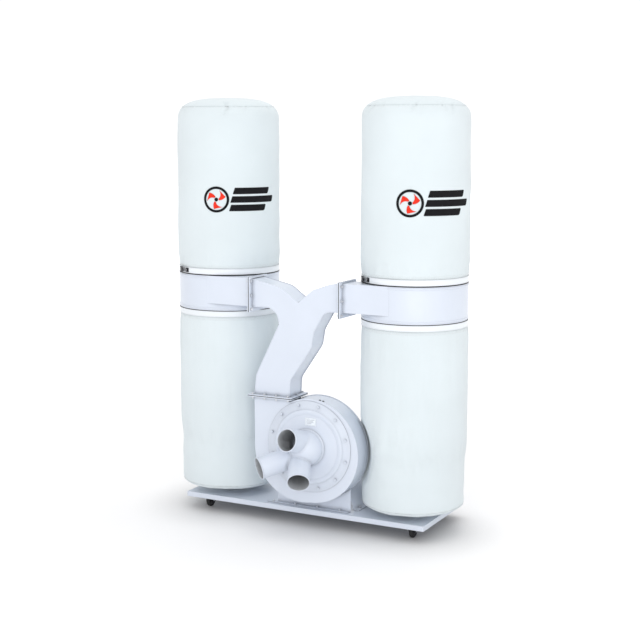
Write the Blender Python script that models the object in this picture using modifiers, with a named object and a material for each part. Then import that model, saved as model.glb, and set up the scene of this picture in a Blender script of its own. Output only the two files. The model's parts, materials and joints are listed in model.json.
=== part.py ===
# Twin-bag dust collector.
#
# A direct-drive blower stands between two filter columns on a wheeled base plate. Air enters
# through a three-way inlet manifold on the blower's front, leaves the top left of the scroll
# casing, and is split by a Y duct into two sheet-metal rings. Each ring carries a filter bag
# above and a collection bag below, held by band clamps with toggle latches.
#
# Metres, +Z up, -Y is the front. The origin is on the floor under the middle of the object.
import math

import bpy
import bmesh
from mathutils import Matrix, Vector

# ---------------------------------------------------------------- driving dimensions
BAG_Y = 0.083            # Y of both bag columns, so that the whole stands over the origin
BAG_X = 0.4975           # distance of each bag column's axis from the middle
RING_RADIUS = 0.245      # outside of the sheet-metal ring
RING_BOTTOM = 1.008      # lower end of the ring's full-size wall
RING_TOP = 1.181
COLLAR_RADIUS = 0.241    # spigots above and below the wall, which the bag hems slip over
COLLAR_LENGTH = 0.028
SHEET = 0.002            # sheet metal of rings and ducts
TOUCH_GAP = 0.0003       # gap left between pieces that touch
BIG_ROUND = 36           # flats round a drum, its bands and bags, and the inlet plate

BAG_RADIUS = 0.2465
BAG_CLOTH = 0.0025
UPPER_BAG_TOP = 2.010
LOWER_BAG_BOTTOM = 0.120
BAND_HEIGHT = 0.0275
BAND_INNER = COLLAR_RADIUS + 2 * TOUCH_GAP + BAG_CLOTH
BAND_THICKNESS = 0.0018

BASE_LENGTH = 1.274
BASE_DEPTH = 0.490
BASE_FRONT = BAG_Y - 0.196
BASE_TOP = 0.0857
BASE_SHEET = 0.003
BASE_LIP = 0.025

WHEEL_RADIUS = 0.0315
WHEEL_WIDTH = 0.022
WHEEL_FLATS = 22
CASTER_TRAIL = 0.025
CASTER_X = 0.551
CASTER_FROM_EDGE = 0.058

AXIS_X = 0.076           # motor shaft, impeller and inlet
AXIS_Z = 0.405
DUCT_FRONT = BAG_Y - RING_RADIUS + 0.0005
DUCT_DEPTH = 0.1175
DUCT_BACK = DUCT_FRONT + DUCT_DEPTH
SCROLL_X = 0.0823        # centre of the casing's round outline
SCROLL_Z = 0.384
SCROLL_RADIUS = 0.247
SCROLL_GROWTH = 0.0508   # how far the outline has opened out where it meets the left wall
OUTLET_LEFT = -0.2156
OUTLET_RIGHT = -0.0284
OUTLET_TOP = 0.622
CASING_SHEET = 0.003
FLANGE_LIP = 0.025
FLANGE_TOP_LIP = 0.008   # shorter over the branches, so that the latch levers swing clear
FLANGE_SHEET = 0.004
GASKET = 0.003

STUB_BOTTOM = 1.045      # inlet stubs of the rings, and the duct's two branch ends
STUB_TOP = 1.177
BRANCH_LEFT = -0.229
BRANCH_RIGHT = 0.239

INLET_PLATE_RADIUS = 0.216
INLET_DISC_RADIUS = 0.178
INLET_DISC_RISE = 0.012
INLET_EYE = 0.0715
PORT_RADIUS = 0.0515     # outside of each 100 mm hose port
PORT_WALL = 0.002
MANIFOLD_BASE = 0.0874
HUB_RADIUS = 0.081
HUB_NECK = 0.020
HUB_ROUND = 30
PORT_ROUND = 26

MOTOR_RADIUS = 0.088
MOTOR_FOOT_Z = 0.305
SHAFT_RADIUS = 0.014
IMPELLER_RADIUS = 0.165

UPPER_LATCH_ANGLES = {"left": 232.0, "right": 221.0}
LOWER_LATCH_ANGLE = 140.0
LATCH_LENGTH = 0.042
LATCH_STANDOFF = 0.0075

SIDES = (("left", -1), ("right", 1))


# ---------------------------------------------------------------- scene and helpers
for old_object in list(bpy.data.objects):
    bpy.data.objects.remove(old_object, do_unlink=True)

parts = bpy.data.collections.new("dust_collector")
cutters = bpy.data.collections.new("cutters")
bpy.context.scene.collection.children.link(parts)
bpy.context.scene.collection.children.link(cutters)


def make_material(name, colour, roughness, metallic):
    material = bpy.data.materials.new(name)
    material.use_nodes = True
    shader = material.node_tree.nodes["Principled BSDF"]
    shader.inputs["Base Color"].default_value = (*colour, 1.0)
    shader.inputs["Roughness"].default_value = roughness
    shader.inputs["Metallic"].default_value = metallic
    return material


PAINT = make_material("light_paint", (0.82, 0.84, 0.90), 0.35, 0.0)
CLOTH = make_material("white_cloth", (0.90, 0.93, 0.95), 0.90, 0.0)
STEEL = make_material("zinc_steel", (0.62, 0.63, 0.65), 0.30, 1.0)
DARK_STEEL = make_material("dark_steel", (0.20, 0.20, 0.22), 0.45, 1.0)
CAST = make_material("motor_paint", (0.70, 0.72, 0.76), 0.45, 0.0)
COPPER = make_material("winding", (0.60, 0.30, 0.14), 0.45, 0.6)
RUBBER = make_material("black_rubber", (0.03, 0.03, 0.03), 0.75, 0.0)
PLASTIC = make_material("black_plastic", (0.04, 0.04, 0.045), 0.50, 0.0)
GREEN = make_material("green_plastic", (0.05, 0.45, 0.15), 0.40, 0.0)
RED = make_material("red_plastic", (0.65, 0.04, 0.03), 0.40, 0.0)
LABEL = make_material("label_white", (0.93, 0.93, 0.92), 0.40, 0.0)


def add_object(name, mesh, material, place=(0, 0, 0), turn=(0, 0, 0), as_cutter=False):
    """Make an object in the parts collection, or a wire-drawn helper in the cutters' one."""
    item = bpy.data.objects.new(name, mesh)
    item.location = place
    item.rotation_euler = turn
    if as_cutter:
        cutters.objects.link(item)
        item.hide_render = True
        item.display_type = "WIRE"
    else:
        parts.objects.link(item)
        mesh.materials.append(material)
    return item


def cutter(name, mesh, place=(0, 0, 0), turn=(0, 0, 0)):
    return add_object(name, mesh, None, place, turn, as_cutter=True)


def round_shading(mesh, angle=35):
    mesh.shade_smooth()
    mesh.set_sharp_from_angle(angle=math.radians(angle))


def box_mesh(name, low, high, origin=(0, 0, 0)):
    """A box between two opposite corners given relative to the origin."""
    low = Vector(low) - Vector(origin)
    high = Vector(high) - Vector(origin)
    shape = bmesh.new()
    middle = Matrix.Translation((low + high) / 2)
    size = Matrix.Diagonal((*(high - low), 1))
    bmesh.ops.create_cube(shape, size=1, matrix=middle @ size)
    mesh = bpy.data.meshes.new(name)
    shape.to_mesh(mesh)
    shape.free()
    return mesh


def rod_mesh(name, radius, start, end, segments=24, end_radius=None):
    """A cylinder, or a cone where end_radius is given, between two points."""
    start = Vector(start)
    end = Vector(end)
    direction = end - start
    far_radius = radius if end_radius is None else end_radius
    turn = direction.to_track_quat("Z", "Y").to_matrix().to_4x4()
    shape = bmesh.new()
    bmesh.ops.create_cone(shape, cap_ends=True, segments=segments, radius1=radius,
                          radius2=far_radius, depth=direction.length,
                          matrix=Matrix.Translation((start + end) / 2) @ turn)
    mesh = bpy.data.meshes.new(name)
    shape.to_mesh(mesh)
    shape.free()
    round_shading(mesh)
    return mesh


def turned_mesh(name, profile, segments=48, closed=True):
    """Turn a profile of (radius, height) points about Z. It runs down its outer side."""
    mesh = bpy.data.meshes.new(name)
    edges = [(index, index + 1) for index in range(len(profile) - 1)]
    if closed:
        edges.append((len(profile) - 1, 0))
    mesh.from_pydata([(radius, 0, height) for radius, height in profile], edges, [])
    item = bpy.data.objects.new(name, mesh)
    cutters.objects.link(item)
    screw = item.modifiers.new("turn", "SCREW")
    screw.steps = segments
    screw.render_steps = segments
    screw.use_merge_vertices = True
    screw.merge_threshold = 0.00001
    result = evaluated_mesh(item)
    bpy.data.objects.remove(item)
    round_shading(result)
    return result


def evaluated_mesh(item):
    graph = bpy.context.evaluated_depsgraph_get()
    return bpy.data.meshes.new_from_object(item.evaluated_get(graph), depsgraph=graph)


def outline_mesh(name, loops, thickness):
    """A flat plate in the XY plane from one outer loop and any holes, half above, half below."""
    curve = bpy.data.curves.new(name, "CURVE")
    curve.dimensions = "2D"
    curve.fill_mode = "BOTH"
    curve.extrude = thickness / 2
    for loop in loops:
        spline = curve.splines.new("POLY")
        spline.points.add(len(loop) - 1)
        for point, (across, up) in zip(spline.points, loop):
            point.co = (across, up, 0, 1)
        spline.use_cyclic_u = True
    item = bpy.data.objects.new(name, curve)
    cutters.objects.link(item)
    mesh = evaluated_mesh(item)
    bpy.data.objects.remove(item)
    shape = bmesh.new()
    shape.from_mesh(mesh)
    bmesh.ops.remove_doubles(shape, verts=shape.verts, dist=0.00001)
    bmesh.ops.recalc_face_normals(shape, faces=shape.faces)
    shape.to_mesh(mesh)
    shape.free()
    return mesh


FACING_FRONT = (math.pi / 2, 0, 0)      # an XY outline stands up in the XZ plane
FACING_SIDE = (math.pi / 2, 0, math.pi / 2)   # an XY outline stands up in the YZ plane


def rounded(corners, steps=5):
    """Points of a closed outline from (across, up, corner radius) corners."""
    points = []
    count = len(corners)
    for index, (across, up, radius) in enumerate(corners):
        here = Vector((across, up))
        if radius == 0:
            points.append(tuple(here))
            continue
        before = (Vector(corners[index - 1][:2]) - here).normalized()
        after = (Vector(corners[(index + 1) % count][:2]) - here).normalized()
        half = before.angle(after) / 2
        centre = here + (before + after).normalized() * (radius / math.sin(half))
        start = here + before * (radius / math.tan(half)) - centre
        finish = here + after * (radius / math.tan(half)) - centre
        sweep = start.angle_signed(finish)
        for step in range(steps + 1):
            points.append(tuple(centre + turned_vector(start, -sweep * step / steps)))
    return points


def turned_vector(vector, angle):
    return Matrix.Rotation(angle, 2, "Z") @ vector


def circle(radius, centre=(0, 0), segments=32):
    turns = [2 * math.pi * index / segments for index in range(segments)]
    return [(centre[0] + radius * math.cos(turn), centre[1] + radius * math.sin(turn)) for turn in turns]


def rectangle(low, high):
    return [(low[0], low[1]), (high[0], low[1]), (high[0], high[1]), (low[0], high[1])]


def combine(item, other, operation):
    """Join or cut an object with a helper through a Boolean modifier."""
    change = item.modifiers.new(other.name, "BOOLEAN")
    change.operation = operation
    change.solver = "EXACT"
    change.object = other
    return item


def join(item, mesh, place=(0, 0, 0), turn=(0, 0, 0)):
    return combine(item, cutter(item.name + "_join", mesh, place, turn), "UNION")


def cut(item, mesh, place=(0, 0, 0), turn=(0, 0, 0)):
    return combine(item, cutter(item.name + "_cut", mesh, place, turn), "DIFFERENCE")


def make_shell(item, thickness, opened):
    """Remove the faces for which opened is true, then thicken the rest inwards."""
    shape = bmesh.new()
    shape.from_mesh(item.data)
    doomed = [face for face in shape.faces if opened(face.calc_center_median())]
    bmesh.ops.delete(shape, geom=doomed, context="FACES")
    shape.to_mesh(item.data)
    shape.free()
    wall = item.modifiers.new("wall", "SOLIDIFY")
    wall.thickness = thickness
    wall.offset = -1
    wall.use_even_offset = True
    return item


# ---------------------------------------------------------------- base plate and casters
def make_base_plate():
    """A sheet folded down along all four edges, open underneath."""
    low = (-BASE_LENGTH / 2, BASE_FRONT, BASE_TOP - BASE_LIP)
    high = (BASE_LENGTH / 2, BASE_FRONT + BASE_DEPTH, BASE_TOP)
    plate = add_object("base_plate", box_mesh("base_plate", low, high), PAINT)
    make_shell(plate, BASE_SHEET, lambda centre: centre.z < low[2] + TOUCH_GAP)


def make_caster(name, x, y):
    """Swivel plate, fork with its kingpin, axle and wheel; the wheel trails behind the pin."""
    plate_top = BASE_TOP - BASE_SHEET - TOUCH_GAP
    plate_bottom = plate_top - 0.003
    crown_top = plate_bottom - 0.0005
    crown_bottom = crown_top - 0.003
    king_pin = 0.006
    half_plate = 0.030
    plate = add_object(name + "_plate", box_mesh(name, (-half_plate, -half_plate, plate_bottom),
                                                 (half_plate, half_plate, plate_top)), STEEL, (x, y, 0))
    cut(plate, rod_mesh(name, king_pin + TOUCH_GAP, (x, y, plate_bottom - 0.01),
                        (x, y, plate_top + 0.01), 14))

    leg_inside = WHEEL_WIDTH / 2 + 0.002
    leg_outside = leg_inside + 0.0025
    leg_front = -0.016
    leg_half = 0.010
    leg_foot = WHEEL_RADIUS - leg_half
    leg = [(leg_front, crown_top, 0), (leg_front, crown_bottom, 0),
           (CASTER_TRAIL - leg_half, leg_foot, 0.006), (CASTER_TRAIL + leg_half, leg_foot, 0.006),
           (CASTER_TRAIL + 0.006, crown_top, 0)]
    side = outline_mesh(name, [rounded(leg)], leg_outside - leg_inside)
    crown = box_mesh(name, (-leg_outside, leg_front - 0.0025, crown_bottom),
                     (leg_outside, CASTER_TRAIL + 0.003, crown_top))
    fork = add_object(name + "_fork", crown, STEEL, (x, y, 0))
    for direction in (-1, 1):
        join(fork, side, (x + direction * (leg_inside + leg_outside) / 2, y, 0), FACING_SIDE)
    join(fork, rod_mesh(name, king_pin, (x, y, crown_bottom + 0.001), (x, y, plate_top - 0.0005), 14))
    axle_radius = 0.004
    wheel_centre = (x, y + CASTER_TRAIL, WHEEL_RADIUS)
    reach = leg_outside + 0.0025
    past_legs = Vector((0.03, 0, 0))
    cut(fork, rod_mesh(name, axle_radius + TOUCH_GAP, Vector(wheel_centre) - past_legs,
                       Vector(wheel_centre) + past_legs, 16))
    axle = rod_mesh(name, axle_radius, (-reach, 0, 0), (reach, 0, 0), 16)
    add_object(name + "_axle", axle, STEEL, wheel_centre)

    half = WHEEL_WIDTH / 2
    bore = axle_radius + TOUCH_GAP
    profile = [(bore, half), (0.010, half), (0.012, half - 0.003), (0.023, half - 0.003),
               (WHEEL_RADIUS - 0.004, half), (WHEEL_RADIUS, half - 0.005)]
    profile += [(radius, -height) for radius, height in reversed(profile)]
    tread = turned_mesh(name, profile, WHEEL_FLATS)
    tread.transform(Matrix.Rotation(math.pi / 2, 4, "Y"))
    add_object(name + "_wheel", tread, RUBBER, wheel_centre, (math.pi / WHEEL_FLATS, 0, 0))


def make_casters():
    rear_edge = BASE_FRONT + BASE_DEPTH
    rows = (("front", BASE_FRONT + CASTER_FROM_EDGE), ("rear", rear_edge - CASTER_FROM_EDGE - 0.030))
    for row, y in rows:
        for side, sign in SIDES:
            make_caster(f"caster_{row}_{side}", sign * CASTER_X, y)


# ---------------------------------------------------------------- rings, bands, latches, bags
def make_ring(side, sign):
    """The drum between the two bags, with a stub in front that meets the duct's branch."""
    centre = (sign * BAG_X, BAG_Y, 0)
    low_end = RING_BOTTOM - COLLAR_LENGTH
    high_end = RING_TOP + COLLAR_LENGTH
    profile = [(0, high_end), (COLLAR_RADIUS, high_end), (COLLAR_RADIUS, RING_TOP)]
    profile += [(RING_RADIUS, RING_TOP), (RING_RADIUS, RING_BOTTOM), (COLLAR_RADIUS, RING_BOTTOM),
                (COLLAR_RADIUS, low_end), (0, low_end)]
    drum = turned_mesh(side, profile, BIG_ROUND, closed=False)
    ring = add_object(f"{side}_ring", drum, PAINT, centre)

    branch = BRANCH_LEFT if sign < 0 else BRANCH_RIGHT
    flange_face = branch + sign * (FLANGE_SHEET + GASKET + 2 * TOUCH_GAP)
    flange_back = flange_face + sign * FLANGE_SHEET
    stub_start = sign * (BAG_X - 0.02)
    ends = sorted((stub_start, flange_face + sign * 0.001))
    join(ring, box_mesh(side, (ends[0], DUCT_FRONT, STUB_BOTTOM), (ends[1], DUCT_BACK, STUB_TOP)))
    ends = sorted((flange_face, flange_back))
    join(ring, box_mesh(side, (ends[0], DUCT_FRONT - FLANGE_LIP, STUB_BOTTOM - FLANGE_LIP),
                        (ends[1], DUCT_BACK + FLANGE_LIP, STUB_TOP + FLANGE_TOP_LIP)))
    collar_inside = COLLAR_RADIUS - SHEET
    wall_inside = RING_RADIUS - SHEET
    hollow = [(0, high_end + 0.01), (collar_inside, high_end + 0.01), (collar_inside, RING_TOP - SHEET),
              (wall_inside, RING_TOP - 2 * SHEET), (wall_inside, RING_BOTTOM + 2 * SHEET)]
    hollow += [(collar_inside, RING_BOTTOM + SHEET), (collar_inside, low_end - 0.01), (0, low_end - 0.01)]
    cut(ring, turned_mesh(side, hollow, BIG_ROUND, closed=False), centre)
    ends = sorted((stub_start + sign * 0.01, flange_face - sign * 0.02))
    cut(ring, box_mesh(side, (ends[0], DUCT_FRONT + SHEET, STUB_BOTTOM + SHEET),
                       (ends[1], DUCT_BACK - SHEET, STUB_TOP - SHEET)))


def latch_frame(angle):
    """Outward and sideways directions at an angle round a band."""
    turn = math.radians(angle)
    return Vector((math.cos(turn), math.sin(turn), 0)), Vector((-math.sin(turn), math.cos(turn), 0))


def local_box(name, centre, outward, sideways, half_out, half_side, half_height):
    mesh = box_mesh(name, (-half_out, -half_side, -half_height), (half_out, half_side, half_height))
    frame = Matrix((outward, sideways, Vector((0, 0, 1)))).transposed().to_4x4()
    mesh.transform(Matrix.Translation(centre) @ frame)
    return mesh


def make_band(name, sign, bottom, angle):
    """A steel strap with the toggle latch's two ears and its hook, and the latch's lever."""
    centre = Vector((sign * BAG_X, BAG_Y, bottom))
    outer = BAND_INNER + BAND_THICKNESS
    profile = [(BAND_INNER, BAND_HEIGHT), (outer, BAND_HEIGHT), (outer, 0), (BAND_INNER, 0)]
    band = add_object(name + "_band", turned_mesh(name, profile, BIG_ROUND), STEEL, centre)
    outward, sideways = latch_frame(angle)
    middle = centre + Vector((0, 0, BAND_HEIGHT / 2))
    hinge = middle + outward * (outer + LATCH_STANDOFF)
    ear_half_height = 0.001
    ear_offset = BAND_HEIGHT / 2 - ear_half_height - 0.0005
    for direction in (-1, 1):
        ear = hinge - outward * 0.0025 + Vector((0, 0, direction * ear_offset))
        join(band, local_box(name, ear, outward, sideways, 0.0065, 0.0055, ear_half_height))
    hook_out, hook_side = latch_frame(angle + math.degrees((LATCH_LENGTH + 0.012) / outer))
    hook = middle + hook_out * (outer + 0.002)
    join(band, local_box(name, hook, hook_out, hook_side, 0.003, 0.003, 0.010))
    pin = 0.0015
    past_ears = Vector((0, 0, 0.03))
    cut(band, rod_mesh(name, pin + TOUCH_GAP, hinge - past_ears, hinge + past_ears, 12))

    barrel_half = ear_offset - ear_half_height - TOUCH_GAP
    lever_middle = sideways * (LATCH_LENGTH / 2)
    plate = local_box(name, lever_middle, outward, sideways, 0.001, LATCH_LENGTH / 2, barrel_half)
    lever = add_object(name + "_latch_lever", plate, DARK_STEEL, hinge)
    up = Vector((0, 0, 1))
    join(lever, rod_mesh(name, 0.003, -up * barrel_half, up * barrel_half, 16), hinge)
    pin_half = ear_offset + ear_half_height
    join(lever, rod_mesh(name, pin, -up * pin_half, up * pin_half, 12), hinge)


def make_upper_bag(side, sign):
    """Filter bag: a closed cloth cylinder with a rounded top, its hem round the ring's collar."""
    hem_inner = COLLAR_RADIUS + TOUCH_GAP
    hem_outer = hem_inner + BAG_CLOTH
    hem_bottom = RING_TOP + TOUCH_GAP
    hem_top = RING_TOP + COLLAR_LENGTH + 0.004
    top = UPPER_BAG_TOP
    full = hem_top + 0.030
    taper = top - 0.300
    outer = [(0, top), (0.196, top - 0.012), (0.222, top - 0.030), (0.235, top - 0.065), (BAG_RADIUS, taper),
             (BAG_RADIUS, full), (hem_outer, hem_top), (hem_outer, hem_bottom)]
    inside = BAG_RADIUS - BAG_CLOTH
    inner = [(hem_inner, hem_bottom), (hem_inner, hem_top), (inside, full), (inside, taper),
             (0.226, top - 0.062), (0.190, top - 0.020), (0, top - 0.007)]
    mesh = turned_mesh(side, outer + inner, BIG_ROUND, closed=False)
    add_object(f"{side}_upper_bag", mesh, CLOTH, (sign * BAG_X, BAG_Y, 0))


def lower_bag_profile(inset, hem_radius, top):
    """Outer side of the collection bag, or the same pulled in by inset."""
    bottom = LOWER_BAG_BOTTOM + inset
    radius = BAG_RADIUS - inset
    return [(0, top), (hem_radius, top), (hem_radius, RING_BOTTOM - COLLAR_LENGTH - 0.004),
            (radius, RING_BOTTOM - COLLAR_LENGTH - 0.035), (radius, bottom + 0.045),
            (radius - 0.008, bottom + 0.016), (radius - 0.035, bottom), (0, bottom)]


def make_lower_bag(side, sign):
    """Collection bag, open at the top. The casing presses a dent into the right one."""
    centre = (sign * BAG_X, BAG_Y, 0)
    hem_inner = COLLAR_RADIUS + TOUCH_GAP
    hem_top = RING_BOTTOM - TOUCH_GAP
    outer = turned_mesh(side, lower_bag_profile(0, hem_inner + BAG_CLOTH, hem_top), BIG_ROUND, closed=False)
    bag = add_object(f"{side}_lower_bag", outer, CLOTH, centre)
    inner_profile = lower_bag_profile(BAG_CLOTH, hem_inner, hem_top + 0.01)
    hollow = cutter(f"{side}_hollow", turned_mesh(side, inner_profile, BIG_ROUND, closed=False), centre)
    if side == "right":
        for item, clearance in ((bag, 0.004), (hollow, 0.004 + BAG_CLOTH)):
            front = DUCT_FRONT - 0.03
            back = DUCT_BACK + clearance
            cut(item, rod_mesh(side, SCROLL_RADIUS + clearance, (SCROLL_X, front, SCROLL_Z),
                               (SCROLL_X, back, SCROLL_Z), 64))
    combine(bag, hollow, "DIFFERENCE")


def make_ring_post(side, sign):
    """A flat steel upright behind each lower bag, from the base plate to the ring's back."""
    thickness = 0.005
    ring_back = BAG_Y + RING_RADIUS + 0.0008
    upright = BAG_Y + BAG_RADIUS + 0.006
    foot_z = BASE_TOP + TOUCH_GAP
    foot_end = upright + 0.034
    jog_low = RING_BOTTOM + 0.004
    jog_high = jog_low + 0.014
    top = RING_TOP - 0.030
    outline = [(foot_end, foot_z), (upright, foot_z), (upright, jog_low), (ring_back, jog_high),
               (ring_back, top), (ring_back + thickness, top), (ring_back + thickness, jog_high + 0.001),
               (upright + thickness, jog_low + 0.001), (upright + thickness, foot_z + thickness),
               (foot_end, foot_z + thickness)]
    width = 0.040
    post = add_object(f"{side}_ring_post", outline_mesh(side, [outline], width), PAINT, (sign * BAG_X, 0, 0))
    post.rotation_euler = FACING_SIDE


def make_columns():
    for side, sign in SIDES:
        make_ring(side, sign)
        make_band(f"{side}_upper", sign, RING_TOP + 0.002, UPPER_LATCH_ANGLES[side])
        make_band(f"{side}_lower", sign, RING_BOTTOM - COLLAR_LENGTH - 0.001, LOWER_LATCH_ANGLE)
        make_upper_bag(side, sign)
        make_lower_bag(side, sign)
        make_ring_post(side, sign)


# ---------------------------------------------------------------- blower casing and ducts
def scroll_outline(clearance=0.0, top=OUTLET_TOP):
    """Round casing outline that opens out along the lower left into the straight outlet."""
    radius = SCROLL_RADIUS + clearance
    right = OUTLET_RIGHT + clearance
    left = OUTLET_LEFT - clearance
    start = math.acos((right - SCROLL_X) / radius)
    steps = 30
    points = [(left, top), (right, top)]
    for step in range(steps + 1):
        turn = start - (start + math.pi / 2) * step / steps
        points.append((SCROLL_X + radius * math.cos(turn), SCROLL_Z + radius * math.sin(turn)))
    steps = 10
    for step in range(1, steps + 1):
        part = step / steps
        turn = -math.pi / 2 * (1 + part)
        grown = radius + SCROLL_GROWTH * math.sin(part * math.pi / 2)
        points.append((max(left, SCROLL_X + grown * math.cos(turn)), SCROLL_Z + grown * math.sin(turn)))
    return list(reversed(points))


def frame_plate(name, material, low, high, hole_low, hole_high, thickness, place, turn):
    """A rectangular flange or gasket with a rectangular window."""
    mesh = outline_mesh(name, [rectangle(low, high), rectangle(hole_low, hole_high)], thickness)
    if material is None:
        return cutter(name, mesh, place, turn)
    return add_object(name, mesh, material, place, turn)


def outlet_frame(name, material, z_low, thickness):
    """A flange or gasket lying round the blower outlet."""
    low = (OUTLET_LEFT - FLANGE_LIP + 0.001, DUCT_FRONT - FLANGE_LIP)
    high = (OUTLET_RIGHT + 0.022, DUCT_BACK + FLANGE_LIP)
    hole_low = (OUTLET_LEFT + SHEET / 2, DUCT_FRONT + SHEET / 2)
    hole_high = (OUTLET_RIGHT - SHEET / 2, DUCT_BACK - SHEET / 2)
    return frame_plate(name, material, low, high, hole_low, hole_high, thickness,
                       (0, 0, z_low + thickness / 2), (0, 0, 0))


def branch_frame(name, material, x_low, thickness):
    """A flange or gasket standing round one branch end of the Y duct."""
    low = (DUCT_FRONT - FLANGE_LIP, STUB_BOTTOM - FLANGE_LIP)
    high = (DUCT_BACK + FLANGE_LIP, STUB_TOP + FLANGE_TOP_LIP)
    hole_low = (DUCT_FRONT + SHEET / 2, STUB_BOTTOM + SHEET / 2)
    hole_high = (DUCT_BACK - SHEET / 2, STUB_TOP - SHEET / 2)
    return frame_plate(name, material, low, high, hole_low, hole_high, thickness,
                       (x_low + thickness / 2, 0, 0), FACING_SIDE)


def make_casing():
    middle = (0, (DUCT_FRONT + DUCT_BACK) / 2, 0)
    casing = add_object("blower_casing", outline_mesh("casing", [scroll_outline()], DUCT_DEPTH), PAINT,
                        middle, FACING_FRONT)
    hollow = outline_mesh("hollow", [scroll_outline(-CASING_SHEET, OUTLET_TOP + 0.02)],
                          DUCT_DEPTH - 2 * CASING_SHEET)
    cut(casing, hollow, middle, FACING_FRONT)
    opening = INLET_DISC_RADIUS + 0.002
    cut(casing, rod_mesh("opening", opening, (AXIS_X, DUCT_FRONT - 0.02, AXIS_Z),
                         (AXIS_X, DUCT_FRONT + 0.02, AXIS_Z), BIG_ROUND))
    cut(casing, rod_mesh("shaft_hole", 0.035, (AXIS_X, DUCT_BACK - 0.02, AXIS_Z),
                         (AXIS_X, DUCT_BACK + 0.02, AXIS_Z)))
    flange = outlet_frame("casing_flange", None, OUTLET_TOP - FLANGE_SHEET + 0.0005, FLANGE_SHEET)
    combine(casing, flange, "UNION")


def make_y_duct():
    """Flat-sided duct that leans right from the outlet and splits into two level branches."""
    throat = OUTLET_TOP + 0.0005 + GASKET + 2 * TOUCH_GAP
    z = STUB_BOTTOM
    right_side = [(OUTLET_RIGHT, throat, 0), (-0.024, 0.708, 0.05), (0.088, 0.872, 0.08),
                  (0.100, 0.945, 0.08), (0.158, z, 0.05), (BRANCH_RIGHT, z, 0)]
    top_side = [(BRANCH_RIGHT, STUB_TOP, 0), (0.185, 1.171, 0.06), (0.095, 1.140, 0.06), (0.0206, 1.076, 0),
                (-0.072, 1.143, 0.10), (BRANCH_LEFT, STUB_TOP, 0)]
    left_side = [(BRANCH_LEFT, z, 0), (-0.042, z + 0.002, 0.065), (-0.205, 0.722, 0.08),
                 (OUTLET_LEFT, throat, 0)]
    outline = rounded(right_side + top_side + left_side, 4)
    middle = (0, (DUCT_FRONT + DUCT_BACK) / 2, 0)
    duct = add_object("y_duct", outline_mesh("y_duct", [outline], DUCT_DEPTH), PAINT, middle, FACING_FRONT)

    def at_an_end(centre):
        return (centre.y < throat + TOUCH_GAP or centre.x < BRANCH_LEFT + TOUCH_GAP
                or centre.x > BRANCH_RIGHT - TOUCH_GAP)

    make_shell(duct, SHEET, at_an_end)
    proud = 0.0005
    sheet = FLANGE_SHEET
    combine(duct, outlet_frame("throat_flange", None, throat - proud, sheet), "UNION")
    combine(duct, branch_frame("left_flange", None, BRANCH_LEFT - proud, sheet), "UNION")
    combine(duct, branch_frame("right_flange", None, BRANCH_RIGHT + proud - sheet, sheet), "UNION")


def make_gaskets():
    outlet_frame("outlet_gasket", RUBBER, OUTLET_TOP + 0.0005 + TOUCH_GAP, GASKET - TOUCH_GAP)
    thickness = GASKET
    branch_frame("left_duct_gasket", RUBBER, BRANCH_LEFT - 0.0008 - TOUCH_GAP - thickness, thickness)
    branch_frame("right_duct_gasket", RUBBER, BRANCH_RIGHT + 0.0008 + TOUCH_GAP, thickness)


def make_inlet_plate():
    """Round cover bolted to the casing's front, its middle pressed forward."""
    sheet = CASING_SHEET
    rise = INLET_DISC_RISE
    disc = INLET_DISC_RADIUS
    profile = [(INLET_EYE, rise), (disc - 0.008, rise), (disc, rise - 0.008), (disc + 0.001, sheet),
               (INLET_PLATE_RADIUS, sheet), (INLET_PLATE_RADIUS, 0), (disc - 0.003, 0),
               (disc - 0.010, rise - sheet), (INLET_EYE, rise - sheet)]
    add_object("inlet_plate", turned_mesh("inlet_plate", profile, BIG_ROUND), PAINT,
               (AXIS_X, DUCT_FRONT - TOUCH_GAP, AXIS_Z), FACING_FRONT)


def make_label_plate():
    face = DUCT_FRONT - TOUCH_GAP - INLET_DISC_RISE - TOUCH_GAP
    low = (AXIS_X - 0.0143, face - 0.001, AXIS_Z + 0.103)
    high = (AXIS_X + 0.0436, face, AXIS_Z + 0.139)
    add_object("label_plate", box_mesh("label", low, high), LABEL)


def hub_profile(inset):
    """Side of the domed hub from its crown down to its neck, pulled in by inset."""
    radius = HUB_RADIUS - inset
    steps = 6
    turns = [math.pi / 2 * (steps - step) / steps for step in range(1, steps + 1)]
    crown = [(0, HUB_NECK + radius)]
    return crown + [(radius * math.cos(turn), HUB_NECK + radius * math.sin(turn)) for turn in turns]


def manifold_ports(hub):
    """Mouth centre and outward direction of each port, given across, forwards and up from the hub."""
    offsets = (((-0.0235, 0.162, 0.064), (-0.12, 0.96, 0.24)),
               ((-0.1686, 0.162, -0.0856), (-0.64, 0.73, -0.23)),
               ((0.038, 0.162, -0.128), (0.37, 0.79, -0.49)))
    ports = []
    for mouth, outward in offsets:
        across, out, up = mouth
        direction = Vector((outward[0], -outward[1], outward[2])).normalized()
        ports.append((hub + Vector((across, -out, up)), direction))
    return ports


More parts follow.
